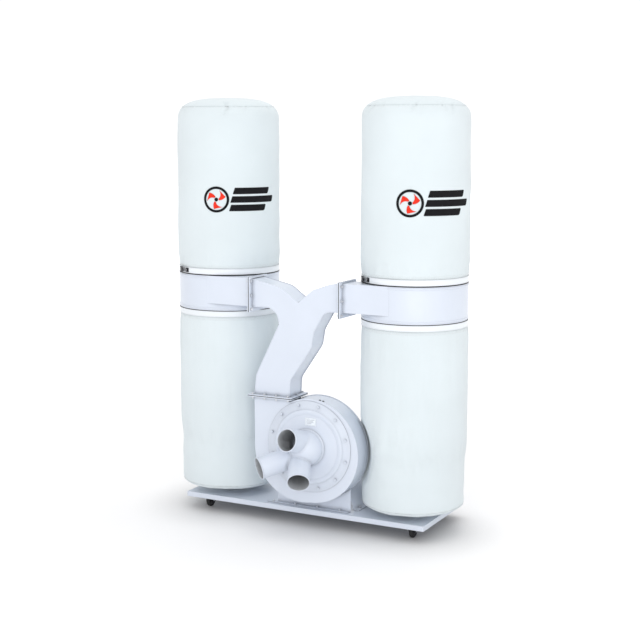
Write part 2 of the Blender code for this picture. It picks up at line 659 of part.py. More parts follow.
def make_manifold():
    """Domed hub with three hose ports that fan out forwards, all cut flush with its foot."""
    face = DUCT_FRONT - 2 * TOUCH_GAP - INLET_DISC_RISE
    hub = Vector((AXIS_X, face, AXIS_Z))
    spare = 0.010
    foot = [(HUB_RADIUS, 0.005), (MANIFOLD_BASE, 0.005), (MANIFOLD_BASE, -spare), (0, -spare)]
    body = turned_mesh("manifold", hub_profile(0) + foot, HUB_ROUND, closed=False)
    manifold = add_object("inlet_manifold", body, PAINT, hub, FACING_FRONT)
    bead = 0.002
    length = 0.275
    port = [(0, length), (PORT_RADIUS + bead, length), (PORT_RADIUS + bead, length - 0.005),
            (PORT_RADIUS, length - 0.007), (PORT_RADIUS, 0), (0, 0)]
    for mouth, direction in manifold_ports(hub):
        turn = direction.to_track_quat("Z", "Y").to_euler()
        tube = turned_mesh("port", port, PORT_ROUND, closed=False)
        join(manifold, tube, mouth - direction * length, turn)
    hollow = turned_mesh("hollow", hub_profile(PORT_WALL) + [(HUB_RADIUS - PORT_WALL, -0.02), (0, -0.02)],
                         HUB_ROUND, closed=False)
    cut(manifold, hollow, hub, FACING_FRONT)
    for mouth, direction in manifold_ports(hub):
        cut(manifold, rod_mesh("port_hollow", PORT_RADIUS - PORT_WALL, mouth - direction * (length + 0.01),
                               mouth + direction * 0.02, PORT_ROUND))
    behind = 0.4
    cut(manifold, box_mesh("behind", (AXIS_X - behind, face, AXIS_Z - behind),
                           (AXIS_X + behind, face + behind, AXIS_Z + behind)))


def make_stands():
    """The saddle plate under the casing and the bent stand under the motor."""
    foot_z = BASE_TOP + TOUCH_GAP
    sheet = 0.004
    plate_front = BAG_Y - 0.149
    left_end = -0.144
    right_end = 0.246
    foot_front = BAG_Y - 0.1715
    cheek = box_mesh("saddle", (left_end, plate_front, foot_z), (right_end, plate_front + sheet, 0.300))
    saddle = add_object("casing_saddle", cheek, PAINT)
    join(saddle, box_mesh("saddle_foot", (left_end - 0.047, foot_front, foot_z),
                          (right_end - 0.006, plate_front + 0.001, foot_z + sheet)))
    clearance = 2 * TOUCH_GAP
    arch = outline_mesh("saddle_arch", [scroll_outline(clearance)], 0.2)
    cut(saddle, arch, (0, plate_front, 0), FACING_FRONT)

    shelf_half = 0.105
    foot_half = 0.170
    flange = 0.026
    shelf = MOTOR_FOOT_Z - TOUCH_GAP
    foot_end = foot_half + flange
    half = [(shelf_half - sheet, shelf - sheet), (foot_half, foot_z), (foot_end, foot_z),
            (foot_end, foot_z + sheet), (foot_half + sheet / 2, foot_z + sheet), (shelf_half, shelf)]
    outline = half + [(-across, up) for across, up in reversed(half)]
    front = DUCT_BACK + 0.013
    back = BAG_Y + 0.170
    add_object("motor_stand", outline_mesh("motor_stand", [outline], back - front), PAINT,
               (AXIS_X, (front + back) / 2, 0), FACING_FRONT)


# ---------------------------------------------------------------- motor and impeller
ALONG_Y = (-math.pi / 2, 0, 0)          # turns a turned shape's axis from +Z to +Y
MOTOR_FRONT = DUCT_BACK + TOUCH_GAP     # the mounting flange meets the casing's back
FRAME_START = MOTOR_FRONT + 0.014
FRAME_END = FRAME_START + 0.190
SHIELD_DEPTH = 0.016
COWL_START = FRAME_END + TOUCH_GAP + SHIELD_DEPTH + TOUCH_GAP
COWL_DEPTH = 0.056
STATOR_OUTER = 0.076
ROTOR_OUTER = 0.048
BEARING_OUTER = 0.026
BEARING_WIDTH = 0.010


def turned_on_axis(name, profile, material, y, segments=40, closed=True):
    mesh = turned_mesh(name, profile, segments, closed)
    return add_object(name, mesh, material, (AXIS_X, y, AXIS_Z), ALONG_Y)


def make_motor_frame():
    """Ribbed tube on two feet, open at both ends."""
    fins = 24
    root = MOTOR_RADIUS - 0.008
    points = []
    for fin in range(fins):
        for share, radius in ((-0.30, root), (-0.14, MOTOR_RADIUS), (0.14, MOTOR_RADIUS), (0.30, root)):
            turn = 2 * math.pi * (fin + share) / fins
            points.append((radius * math.cos(turn), radius * math.sin(turn)))
    length = FRAME_END - FRAME_START
    mesh = outline_mesh("motor_frame", [points, circle(STATOR_OUTER + TOUCH_GAP, segments=40)], length)
    middle = (AXIS_X, (FRAME_START + FRAME_END) / 2, AXIS_Z)
    frame = add_object("motor_frame", mesh, CAST, middle, FACING_FRONT)
    foot_top = MOTOR_FOOT_Z + 0.010
    for direction in (-1, 1):
        inner = AXIS_X + direction * 0.035
        outer = AXIS_X + direction * 0.095
        ends = sorted((inner, outer))
        join(frame, box_mesh("foot", (ends[0], FRAME_START + 0.03, MOTOR_FOOT_Z),
                             (ends[1], FRAME_END - 0.03, foot_top)))
        web = sorted((AXIS_X + direction * 0.045, AXIS_X + direction * 0.060))
        join(frame, box_mesh("foot_web", (web[0], FRAME_START + 0.035, MOTOR_FOOT_Z + 0.005),
                             (web[1], FRAME_END - 0.035, AXIS_Z - 0.065)))


def make_shields():
    """End shields with bearing seats; the front one carries the mounting flange."""
    seat = BEARING_OUTER + TOUCH_GAP
    pass_hole = SHAFT_RADIUS + 0.002
    depth = FRAME_START - TOUCH_GAP - MOTOR_FRONT
    boss = depth + 0.006
    boss_radius = seat + 0.006
    front = [(0.098, depth), (0.098, 0), (pass_hole, 0), (pass_hole, 0.003), (seat, 0.003), (seat, boss),
             (boss_radius, boss), (boss_radius, depth)]
    turned_on_axis("motor_front_shield", front, CAST, MOTOR_FRONT, 32)
    depth = SHIELD_DEPTH
    lip = 0.004
    rear = [(MOTOR_RADIUS, depth), (MOTOR_RADIUS, 0), (boss_radius, 0), (boss_radius, -lip), (seat, -lip),
            (seat, depth - lip), (pass_hole, depth - lip), (pass_hole, depth)]
    turned_on_axis("motor_rear_shield", rear, CAST, FRAME_END + TOUCH_GAP, 32)


def make_bearings():
    inner = SHAFT_RADIUS + TOUCH_GAP
    ring = [(inner, BEARING_WIDTH), (BEARING_OUTER, BEARING_WIDTH), (BEARING_OUTER, 0), (inner, 0)]
    front_place = MOTOR_FRONT + 0.003 + TOUCH_GAP
    rear_place = FRAME_END + TOUCH_GAP + SHIELD_DEPTH - 0.004 - TOUCH_GAP - BEARING_WIDTH
    turned_on_axis("front_bearing", ring, STEEL, front_place, 32)
    turned_on_axis("rear_bearing", ring, STEEL, rear_place, 32)


def make_stator_and_rotor():
    core_start = FRAME_START + 0.045
    core_length = 0.100
    stator = [(ROTOR_OUTER + 0.001, core_length), (STATOR_OUTER, core_length), (STATOR_OUTER, 0),
              (ROTOR_OUTER + 0.001, 0)]
    turned_on_axis("stator_core", stator, COPPER, core_start)
    bore = SHAFT_RADIUS + TOUCH_GAP
    rotor = [(bore, core_length), (ROTOR_OUTER, core_length), (ROTOR_OUTER, 0), (bore, 0)]
    turned_on_axis("rotor_core", rotor, DARK_STEEL, core_start)


def make_shaft():
    start = IMPELLER_BACK - 0.040
    end = COWL_START + 0.040
    length = end - start
    chamfer = 0.001
    shaft = [(0, length), (SHAFT_RADIUS - chamfer, length), (SHAFT_RADIUS, length - chamfer),
             (SHAFT_RADIUS, chamfer), (SHAFT_RADIUS - chamfer, 0), (0, 0)]
    turned_on_axis("motor_shaft", shaft, STEEL, start, 32, closed=False)


IMPELLER_BACK = DUCT_BACK - CASING_SHEET - 0.008
BLADE_DEPTH = 0.070


def make_impeller():
    """Back disc and hub with eight blades leaning away from the turn, and its bolt."""
    bore = SHAFT_RADIUS + TOUCH_GAP
    disc = 0.003
    hub_length = 0.038
    profile = [(IMPELLER_RADIUS, 0), (IMPELLER_RADIUS, -disc), (0.030, -disc), (0.026, -hub_length),
               (bore, -hub_length), (bore, 0)]
    impeller = turned_on_axis("impeller", profile, STEEL, IMPELLER_BACK, 32)
    blades = 8
    for blade in range(blades):
        turn = Matrix.Rotation(2 * math.pi * blade / blades, 4, "Y")
        lean = Matrix.Rotation(math.radians(20), 4, "Y")
        reach = box_mesh("blade", (-disc / 2, -BLADE_DEPTH, 0.040),
                         (disc / 2, -disc / 2, IMPELLER_RADIUS - 0.004))
        move = Matrix.Translation((0.022, 0, 0))
        reach.transform(Matrix.Translation((AXIS_X, IMPELLER_BACK, AXIS_Z)) @ turn @ move @ lean)
        join(impeller, reach)
    head = [(0, 0), (0.024, 0), (0.024, -0.003), (0.010, -0.003), (0.010, -0.010), (0, -0.010)]
    end = IMPELLER_BACK - 0.040 - TOUCH_GAP
    turned_on_axis("impeller_bolt", head, STEEL, end, 6, closed=False)


def make_cooling_fan():
    bore = SHAFT_RADIUS + TOUCH_GAP
    hub = [(bore, 0.030), (0.022, 0.030), (0.022, 0.005), (0.060, 0.003), (0.060, 0), (bore, 0)]
    fan = turned_on_axis("cooling_fan", hub, PLASTIC, COWL_START + 0.006, 32)
    blades = 6
    for blade in range(blades):
        vane = box_mesh("vane", (-0.001, 0.001, 0.020), (0.001, 0.026, 0.074))
        turn = Matrix.Rotation(2 * math.pi * blade / blades, 4, "Y")
        vane.transform(Matrix.Translation((AXIS_X, COWL_START + 0.006, AXIS_Z)) @ turn)
        join(fan, vane)


def make_fan_cowl():
    """Cup over the cooling fan with slots cut through its end."""
    wall = 0.002
    inner = 0.082
    depth = COWL_DEPTH
    profile = [(0, depth), (inner - 0.008, depth), (inner + wall, depth - 0.010), (inner + wall, 0),
               (inner, 0), (inner, depth - 0.011), (inner - 0.009, depth - wall), (0, depth - wall)]
    cowl = turned_on_axis("fan_cowl", profile, CAST, COWL_START, 28, closed=False)
    slots = 5
    for slot in range(slots):
        height = AXIS_Z + (slot - (slots - 1) / 2) * 0.024
        half = math.sqrt(0.066 ** 2 - (height - AXIS_Z) ** 2)
        back = COWL_START + depth
        cut(cowl, box_mesh("slot", (AXIS_X - half, back - 0.012, height - 0.004),
                           (AXIS_X + half, back + 0.012, height + 0.004)))


def make_switch():
    """Magnetic switch box on top of the motor, with its two buttons and the cable's gland."""
    low = Vector((AXIS_X - 0.062, FRAME_START + 0.050, AXIS_Z + MOTOR_RADIUS + TOUCH_GAP))
    high = Vector((AXIS_X + 0.022, FRAME_START + 0.115, low.z + 0.085))
    middle = (low.x + high.x) / 2
    case = add_object("switch_box", box_mesh("switch_box", low, high), PLASTIC)
    bevel = case.modifiers.new("edges", "BEVEL")
    bevel.width = 0.003
    bevel.segments = 2
    button_radius = 0.011
    travel = 0.003
    well = 0.008
    buttons = (("start_button", GREEN, low.z + 0.060), ("stop_button", RED, low.z + 0.026))
    for name, material, height in buttons:
        centre = Vector((middle, high.y, height))
        cut(case, rod_mesh(name, button_radius + 0.0005, centre - Vector((0, well, 0)),
                           centre + Vector((0, 0.01, 0)), 24))
        cap = rod_mesh(name, button_radius, (0, -well + travel + 0.001, 0), (0, travel + 0.001, 0), 24)
        add_object(name, cap, material, centre)
    gland = [(0.0085, 0.020), (0.0085, 0.014), (0.011, 0.012), (0.011, 0), (0.005, 0), (0.005, 0.020)]
    side = Vector((high.x + TOUCH_GAP, (low.y + high.y) / 2, low.z + 0.025))
    add_object("cable_gland", turned_mesh("gland", gland, 24), PLASTIC, side, (0, math.pi / 2, 0))


def make_motor():
    make_motor_frame()
    make_shields()
    make_bearings()
    make_stator_and_rotor()
    make_shaft()
    make_impeller()
    make_cooling_fan()
    make_fan_cowl()
    make_switch()


make_base_plate()
make_casters()
make_columns()
make_casing()
make_y_duct()
make_gaskets()
make_inlet_plate()
make_label_plate()
make_manifold()
make_stands()
make_motor()
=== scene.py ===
# Looks of the twin-bag dust collector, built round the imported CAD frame.
#
# Metres, +Z up, -Y is the front. Sheet metal, manifold, motor and casters are rebuilt with rolled
# edges, beads and fasteners on the CAD's own places, and the four bags are cloth simulations.
import json
import math

import bmesh
import bpy
from mathutils import Matrix, Vector, noise
from mathutils.bvhtree import BVHTree


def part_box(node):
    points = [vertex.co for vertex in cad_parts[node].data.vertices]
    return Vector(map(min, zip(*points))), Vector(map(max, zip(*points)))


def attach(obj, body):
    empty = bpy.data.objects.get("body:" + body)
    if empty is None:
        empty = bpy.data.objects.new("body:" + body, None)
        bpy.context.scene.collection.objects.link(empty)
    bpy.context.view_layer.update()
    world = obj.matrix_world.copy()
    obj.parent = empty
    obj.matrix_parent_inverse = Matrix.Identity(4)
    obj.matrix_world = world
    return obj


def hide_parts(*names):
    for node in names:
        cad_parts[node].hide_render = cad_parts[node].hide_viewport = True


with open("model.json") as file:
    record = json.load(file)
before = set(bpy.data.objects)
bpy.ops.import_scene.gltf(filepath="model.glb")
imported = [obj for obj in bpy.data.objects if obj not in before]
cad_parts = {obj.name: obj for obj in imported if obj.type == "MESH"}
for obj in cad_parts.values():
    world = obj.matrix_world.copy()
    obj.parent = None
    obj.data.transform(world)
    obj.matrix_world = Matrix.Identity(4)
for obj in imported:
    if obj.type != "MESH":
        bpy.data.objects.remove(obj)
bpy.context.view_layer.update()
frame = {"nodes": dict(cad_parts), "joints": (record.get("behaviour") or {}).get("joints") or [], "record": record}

# ---------------------------------------------------------------- places read from the frame
SIDES = (("left", -1), ("right", 1))
AXIS = {}
for column_side, _ in SIDES:
    bag_low, bag_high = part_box(f"{column_side}_upper_bag")
    AXIS[column_side] = Vector(((bag_low.x + bag_high.x) / 2, (bag_low.y + bag_high.y) / 2, 0))
BAG_R = (bag_high.x - bag_low.x) / 2
RING_LOW, RING_HIGH = (corner.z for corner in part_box("left_ring"))
COLLAR = 0.028                       # height of the spigot above and below the ring's wall
RING_R = 0.245
COLLAR_R = 0.241
WALL_LOW = RING_LOW + COLLAR
WALL_HIGH = RING_HIGH - COLLAR
PLATE_LOW, PLATE_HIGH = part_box("inlet_plate")
SHAFT = Vector(((PLATE_LOW.x + PLATE_HIGH.x) / 2, 0, (PLATE_LOW.z + PLATE_HIGH.z) / 2))
PLATE_R = (PLATE_HIGH.x - PLATE_LOW.x) / 2
PLATE_FACE = PLATE_LOW.y
DISC_R = 0.178                       # raised middle of the inlet cover
GAP = 0.0003                         # clearance kept between touching pieces
CASE_FRONT = PLATE_HIGH.y + GAP
CASE_BACK = CASE_FRONT + 0.1175      # the blower is 117.5 mm deep
SHEET = 0.002                        # sheet metal of rings, ducts and manifold
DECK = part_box("base_plate")[1].z
SCROLL_R = 0.247                     # the casing's round part, before its spiral grows
SCROLL_CENTRE = Vector((0.0823, 0, 0.384))
OUTLET_LEFT, OUTLET_RIGHT = -0.2156, -0.0284
OUTLET_TOP = 0.622
BRANCH_LOW, BRANCH_HIGH = 1.045, 1.177   # heights of the duct's two branches
FLANGE = 0.004                       # thickness of the duct flanges
FLANGE_LIP = 0.022                   # how far the outlet flange stands out
ROUND = 144                          # segments round a ring, strap or cover


# ---------------------------------------------------------------- materials
def textured(name, colour, roughness, metallic=0.0, tone=0.05, tone_scale=5.0, grain=350.0, bump=0.04,
             stretch=(1, 1, 1), painted_shade=0.0, reach=0.018, weave=0.0, **sockets):
    """A surface whose colour drifts in soft clouds, darkened with painted shade where ambient occlusion finds
    crevices, and whose grain shows in roughness and bump.
    """
    material = bpy.data.materials.new(name)
    material.use_nodes = True
    nodes = material.node_tree.nodes
    link = material.node_tree.links.new
    shader = nodes["Principled BSDF"]
    shader.inputs["Metallic"].default_value = metallic
    for socket, value in sockets.items():
        shader.inputs[socket.replace("_", " ")].default_value = value
    coordinates = nodes.new("ShaderNodeTexCoord")
    mapping = nodes.new("ShaderNodeMapping")
    mapping.inputs["Scale"].default_value = stretch
    link(coordinates.outputs["Object"], mapping.inputs["Vector"])

    def noise_node(scale, detail):
        texture = nodes.new("ShaderNodeTexNoise")
        texture.inputs["Scale"].default_value = scale
        texture.inputs["Detail"].default_value = detail
        link(mapping.outputs["Vector"], texture.inputs["Vector"])
        return texture

    clouds = noise_node(tone_scale, 6.0)
    fine = noise_node(grain, 3.0)
    ramp = nodes.new("ShaderNodeValToRGB")
    ramp.color_ramp.elements[0].position = 0.3
    ramp.color_ramp.elements[1].position = 0.7
    ramp.color_ramp.elements[0].color = (*(channel * (1 - tone) for channel in colour), 1)
    ramp.color_ramp.elements[1].color = (*(min(1, channel * (1 + tone / 2)) for channel in colour), 1)
    link(clouds.outputs["Fac"], ramp.inputs["Fac"])
    colour_out = ramp.outputs["Color"]
    # painted shade: ambient occlusion darkens the colour in crevices, creases and next to other parts, by the
    # given factor
    if painted_shade:
        crevice_shade = nodes.new("ShaderNodeAmbientOcclusion")
        crevice_shade.samples = 8
        crevice_shade.inputs["Distance"].default_value = reach
        link(colour_out, crevice_shade.inputs["Color"])
        fade = nodes.new("ShaderNodeMix")
        fade.data_type = "RGBA"
        fade.inputs["Factor"].default_value = painted_shade
        link(colour_out, fade.inputs["A"])
        link(crevice_shade.outputs["Color"], fade.inputs["B"])
        colour_out = fade.outputs["Result"]
    link(colour_out, shader.inputs["Base Color"])
    shine = nodes.new("ShaderNodeMapRange")
    shine.inputs["To Min"].default_value = max(0.05, roughness - 0.09)
    shine.inputs["To Max"].default_value = min(1.0, roughness + 0.09)
    link(fine.outputs["Fac"], shine.inputs["Value"])
    link(shine.outputs["Result"], shader.inputs["Roughness"])
    height = fine.outputs["Fac"]
    if weave:
        for direction in ("DIAGONAL", "Z"):
            wave = nodes.new("ShaderNodeTexWave")
            wave.bands_direction = direction
            wave.inputs["Scale"].default_value = weave
            wave.inputs["Distortion"].default_value = 1.5
            link(mapping.outputs["Vector"], wave.inputs["Vector"])
            mix = nodes.new("ShaderNodeMath")
            mix.operation = "ADD"
            link(height, mix.inputs[0])
            link(wave.outputs["Fac"], mix.inputs[1])
            height = mix.outputs["Value"]
    lift = nodes.new("ShaderNodeBump")
    lift.inputs["Strength"].default_value = bump
    lift.inputs["Distance"].default_value = 0.001
    link(height, lift.inputs["Height"])
    link(lift.outputs["Normal"], shader.inputs["Normal"])
    return material


# painted shade: the paint, cloth, zinc, strap and motor paint below are darkened by ambient occlusion in crevices
# and next to other parts
PAINT = textured("powder_coat", (0.665, 0.716, 0.808), 0.36, tone=0.03, grain=700, bump=0.10, painted_shade=0.7,
                 reach=0.02, Coat_Weight=0.25, Coat_Roughness=0.22)
CLOTH = textured("filter_cloth", (0.725, 0.796, 0.825), 0.9, tone=0.035, tone_scale=3.5, grain=900,
                 bump=0.35, weave=260, painted_shade=0.9, reach=0.02, Sheen_Weight=0.25, Sheen_Roughness=0.6)
THREAD = textured("sewing_thread", (0.86, 0.88, 0.88), 0.75, tone=0.05, grain=2500, bump=0.3)
STEEL = textured("zinc_plate", (0.78, 0.79, 0.82), 0.30, metallic=1.0, tone=0.05, tone_scale=30, grain=260,
                 bump=0.05, stretch=(1, 1, 9), painted_shade=0.5)
STRAP = textured("white_strap", (0.80, 0.84, 0.88), 0.34, tone=0.03, grain=420, bump=0.07, painted_shade=0.8,
                 Coat_Weight=0.2)
BLACKENED = textured("black_oxide", (0.035, 0.035, 0.04), 0.42, metallic=0.6, tone=0.3, tone_scale=60,
                     grain=900, bump=0.08)
MOTOR_PAINT = textured("cast_paint", (0.60, 0.63, 0.68), 0.45, tone=0.06, grain=420, bump=0.25, painted_shade=0.7)
RUBBER = textured("rubber", (0.022, 0.022, 0.024), 0.72, tone=0.35, tone_scale=25, grain=800, bump=0.25)
PLASTIC = textured("black_plastic", (0.03, 0.03, 0.034), 0.48, tone=0.15, tone_scale=40, grain=1300,
                   bump=0.2)
GREEN = textured("green_plastic", (0.03, 0.42, 0.12), 0.34, tone=0.08, grain=1500, bump=0.06)
RED = textured("red_plastic", (0.62, 0.025, 0.02), 0.34, tone=0.08, grain=1500, bump=0.06)
LABEL = textured("label_film", (0.87, 0.92, 0.98), 0.3, tone=0.03, tone_scale=80, grain=1800, bump=0.03)
INK_GREY = textured("grey_print", (0.30, 0.32, 0.35), 0.5, tone=0.15, tone_scale=200, grain=2500, bump=0.1)
INK_BLACK = textured("black_print", (0.006, 0.006, 0.008), 0.8, tone=0.3, tone_scale=60, grain=1400,
                     bump=0.35, Specular_IOR_Level=0.2)
INK_RED = textured("red_print", (0.80, 0.03, 0.01), 0.75, tone=0.12, tone_scale=60, grain=1400, bump=0.35,
                   Specular_IOR_Level=0.3)
WINDING = textured("winding", (0.42, 0.19, 0.08), 0.4, metallic=0.5, tone=0.2, tone_scale=90, grain=700,
                   bump=0.4, stretch=(1, 12, 1))
# painted shadow: ambient occlusion with a long reach darkens the floor round and under the base
FLOOR = textured("pale_floor", (0.97, 0.965, 0.97), 0.85, tone=0.005, tone_scale=1.5, grain=60, bump=0.01,
                 painted_shade=0.45, reach=0.30)
# painted shade: the bore's light colour is darkened deep inside the ports and hub by ambient occlusion
BORE = textured("bore_painted_shade", (0.74, 0.77, 0.81), 0.7, tone=0.08, tone_scale=30, grain=500, bump=0.2,
                painted_shade=1.0, reach=0.10)
SLOT_LOOKS = {"light_paint": PAINT, "bag_cloth": CLOTH, "zinc_steel": STEEL, "dark_steel": BLACKENED,
              "motor_paint": MOTOR_PAINT, "winding": WINDING, "black_rubber": RUBBER,
              "black_plastic": PLASTIC, "green_plastic": GREEN, "red_plastic": RED, "label_white": LABEL}
SLOT_OF = {look.name: slot for slot, look in SLOT_LOOKS.items()}
SLOT_OF.update({"white_strap": "zinc_steel", "sewing_thread": "bag_cloth", "grey_print": "label_white",
                "black_print": "bag_cloth", "red_print": "bag_cloth"})


# ---------------------------------------------------------------- mesh tools
def turns_round(count, offset=0.0):
    """Evenly spaced angles round a full circle, the first turned on by offset steps."""
    return [2 * math.pi * (step + offset) / count for step in range(count)]


def radial(turn):
    """The level direction at an angle round +Z."""
    return Vector((math.cos(turn), math.sin(turn), 0))


def round_shaft(radius, turn, y=0.0):
    """A point at a radius and turn round the motor's shaft."""
    return Vector((SHAFT.x + radius * math.cos(turn), y, SHAFT.z + radius * math.sin(turn)))


def axes_at(origin, first, second, third=(0, 0, 1)):
    """A placement whose X, Y and Z point along three given directions."""
    return Matrix.Translation(origin) @ Matrix((first, second, Vector(third))).transposed().to_4x4()


def facing(origin, direction):
    """A placement whose +Z points along direction."""
    turn = Vector(direction).to_track_quat("Z", "Y").to_matrix().to_4x4()
    return Matrix.Translation(origin) @ turn


def piece(name, shape, material, body="chassis", slot=None, stands_for=(), edge=0.0, smooth=35):
    """Turn a bmesh into a finished piece that rides on a body, with its edges softened."""
    bmesh.ops.recalc_face_normals(shape, faces=shape.faces)
    mesh = bpy.data.meshes.new(name)
    shape.to_mesh(mesh)
    shape.free()
    return finished(name, mesh, material, body, slot, stands_for, edge, smooth)


def finished(name, mesh, material, body="chassis", slot=None, stands_for=(), edge=0.0, smooth=35):
    """The same for a mesh. A slot is worked out, the material's own unless another one is named, but nothing takes
    it up.
    """
    mesh.shade_smooth()
    mesh.set_sharp_from_angle(angle=math.radians(smooth))
    mesh.materials.clear()
    mesh.materials.append(material)
    item = bpy.data.objects.new(name, mesh)
    bpy.context.scene.collection.objects.link(item)
    if edge:
        bevel = item.modifiers.new("edges", "BEVEL")
        bevel.width = edge
        bevel.segments = 2
        bevel.limit_method = "ANGLE"
        bevel.angle_limit = math.radians(38)
        bevel.harden_normals = True
    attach(item, body)
    slot = slot or SLOT_OF[material.name]
    if stands_for:
        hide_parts(*stands_for)
    return item


def lathe(shape, profile, segments=96, place=Matrix(), closed=True):
    """Add (radius, height) points turned about Z. Points on the axis become one vertex."""
    rings = []
    for radius, height in profile:
        if radius < 1e-6:
            rings.append([shape.verts.new(place @ Vector((0, 0, height)))])
            continue
        points = [Vector((radius * math.cos(turn), radius * math.sin(turn), height))
                  for turn in turns_round(segments)]
        rings.append([shape.verts.new(place @ point) for point in points])
    following = rings[1:] + rings[:1] if closed else rings[1:]
    for first, second in zip(rings, following):
        for step in range(segments):
            after = (step + 1) % segments
            corners = [first[step % len(first)], first[after % len(first)],
                       second[after % len(second)], second[step % len(second)]]
            corners = list(dict.fromkeys(corners))
            if len(corners) > 2:
                shape.faces.new(corners)


def block(shape, low, high, place=Matrix()):
    """Add a box between two corners."""
    low, high = Vector(low), Vector(high)
    middle = Matrix.Translation((low + high) / 2)
    bmesh.ops.create_cube(shape, size=1, matrix=place @ middle @ Matrix.Diagonal((*(high - low), 1)))


def rod(shape, start, end, radius, segments=24):
    """Add a capped cylinder from start to end."""
    start, end = Vector(start), Vector(end)
    place = facing(start, end - start)
    lathe(shape, [(0, 0), (radius, 0), (radius, (end - start).length), (0, (end - start).length)],
          segments, place, closed=False)


def slab(shape, loops, thickness, place=Matrix()):
    """Add a flat plate from one outer loop and any holes, half its thickness each side of XY."""
    curve = bpy.data.curves.new("outline", "CURVE")
    curve.dimensions = "2D"
    curve.fill_mode = "BOTH"
    curve.extrude = thickness / 2
    for loop in loops:
        spline = curve.splines.new("POLY")
        spline.points.add(len(loop) - 1)
        for point, (across, up) in zip(spline.points, loop):
            point.co = (across, up, 0, 1)
        spline.use_cyclic_u = True
    item = bpy.data.objects.new("outline", curve)
    bpy.context.scene.collection.objects.link(item)
    bpy.context.view_layer.update()
    mesh = bpy.data.meshes.new_from_object(item.evaluated_get(bpy.context.evaluated_depsgraph_get()))
    bpy.data.objects.remove(item)
    bpy.data.curves.remove(curve)
    mesh.transform(place)
    known = set(shape.verts)
    shape.from_mesh(mesh)
    bpy.data.meshes.remove(mesh)
    bmesh.ops.remove_doubles(shape, verts=[vert for vert in shape.verts if vert not in known], dist=0.00001)


STANDING = Matrix.Rotation(math.pi / 2, 4, "X")          # (across, up) becomes (X, Z)
SIDEWAYS = Matrix.Rotation(math.pi / 2, 4, "Z") @ STANDING   # (across, up) becomes (Y, Z)


def standing(y):
    """A placement for an outline in (X, Z), at a depth."""
    return Matrix.Translation((0, y, 0)) @ STANDING


def circle(radius, centre=(0, 0), segments=48):
    """Outline of a flat circle."""
    return [(centre[0] + radius * math.cos(turn), centre[1] + radius * math.sin(turn))
            for turn in turns_round(segments)]


def rectangle(low, high):
    """Outline of a flat rectangle between two corners."""
    return [(low[0], low[1]), (high[0], low[1]), (high[0], high[1]), (low[0], high[1])]


def rounded(corners, steps=6):
    """Points of a closed outline from (across, up, corner radius) corners."""
    points = []
    for index, (across, up, radius) in enumerate(corners):
        here = Vector((across, up))
        if radius == 0:
            points.append(tuple(here))
            continue
        before = (Vector(corners[index - 1][:2]) - here).normalized()
        after = (Vector(corners[(index + 1) % len(corners)][:2]) - here).normalized()
        half = before.angle(after) / 2
        centre = here + (before + after).normalized() * (radius / math.sin(half))
        start = here + before * (radius / math.tan(half)) - centre
        finish = here + after * (radius / math.tan(half)) - centre
        sweep = start.angle_signed(finish)
        for step in range(steps + 1):
            turned = Matrix.Rotation(-sweep * step / steps, 2, "Z") @ start
            points.append(tuple(centre + turned))
    return points


def rounded_box(low, high, radius, steps):
    """Rounded outline, in XZ, of the box between two corners."""
    return rounded([(low.x, low.z, radius), (high.x, low.z, radius), (high.x, high.z, radius),
                    (low.x, high.z, radius)], steps)


def inset(path, distance):
    """The same open path moved to its left by distance."""
    moved = []
    for index, point in enumerate(path):
        here = Vector(point)
        back = Vector(path[max(index - 1, 0)])
        ahead = Vector(path[min(index + 1, len(path) - 1)])
        before = (here - back).normalized() if index else (ahead - here).normalized()
        after = (ahead - here).normalized() if index < len(path) - 1 else before
        side = Vector((-(before + after).y, (before + after).x)).normalized()
        grow = distance / max(0.5, side.dot(Vector((-before.y, before.x))))
        moved.append(tuple(here + side * grow))
    return moved


def wall(shape, path, front, back, sheet):
    """A bent strip of sheet that follows a path in XZ, between two depths."""
    outline = list(path) + list(reversed(inset(path, sheet)))
    slab(shape, [outline], back - front, standing((front + back) / 2))


def bolt(shape, place, across=0.010, washer=True, stud=0.0):
    """A hexagon head with a chamfered crown on its washer; place's +Z points out of the surface."""
    base = 0.0
    if washer:
        outer = across * 0.62
        base = 0.0014
        profile = [(0, 0), (outer, 0), (outer, 0.0010), (outer - 0.0004, base), (0, base)]
        lathe(shape, profile, 20, place, False)
    corner = across / math.sqrt(3)
    rise = across * 0.55
    lathe(shape, [(0, base), (corner, base), (corner, base + rise - 0.0008), (corner * 0.88, base + rise),
                  (0, base + rise)], 6, place, False)
    if stud:
        tip = base + rise
        lathe(shape, [(0, tip), (across * 0.28, tip), (across * 0.28, tip + stud - 0.0006),
                      (across * 0.22, tip + stud), (0, tip + stud)], 14, place, False)


def carved(name, solid, tools, solver="EXACT"):
    """A bmesh solid after (operation, bmesh) steps, as a mesh."""
    bmesh.ops.recalc_face_normals(solid, faces=solid.faces)
    mesh = bpy.data.meshes.new(name)
    solid.to_mesh(mesh)
    solid.free()
    item = bpy.data.objects.new(name, mesh)
    bpy.context.scene.collection.objects.link(item)
    helpers = []
    for operation, tool in tools:
        bmesh.ops.recalc_face_normals(tool, faces=tool.faces)
        tool_mesh = bpy.data.meshes.new(name + "_tool")
        tool.to_mesh(tool_mesh)
        tool.free()
        helper = bpy.data.objects.new(name + "_tool", tool_mesh)
        bpy.context.scene.collection.objects.link(helper)
        helpers.append(helper)
        step = item.modifiers.new("step", "BOOLEAN")
        step.operation = operation
        step.solver = solver
        step.object = helper
    return baked(item, helpers)


def baked(item, helpers=()):
    """The object's mesh with its modifiers applied; the object and its helpers are removed."""
    graph = bpy.context.evaluated_depsgraph_get()
    result = bpy.data.meshes.new_from_object(item.evaluated_get(graph), depsgraph=graph)
    for old in (item, *helpers):
        bpy.data.objects.remove(old)
    return result


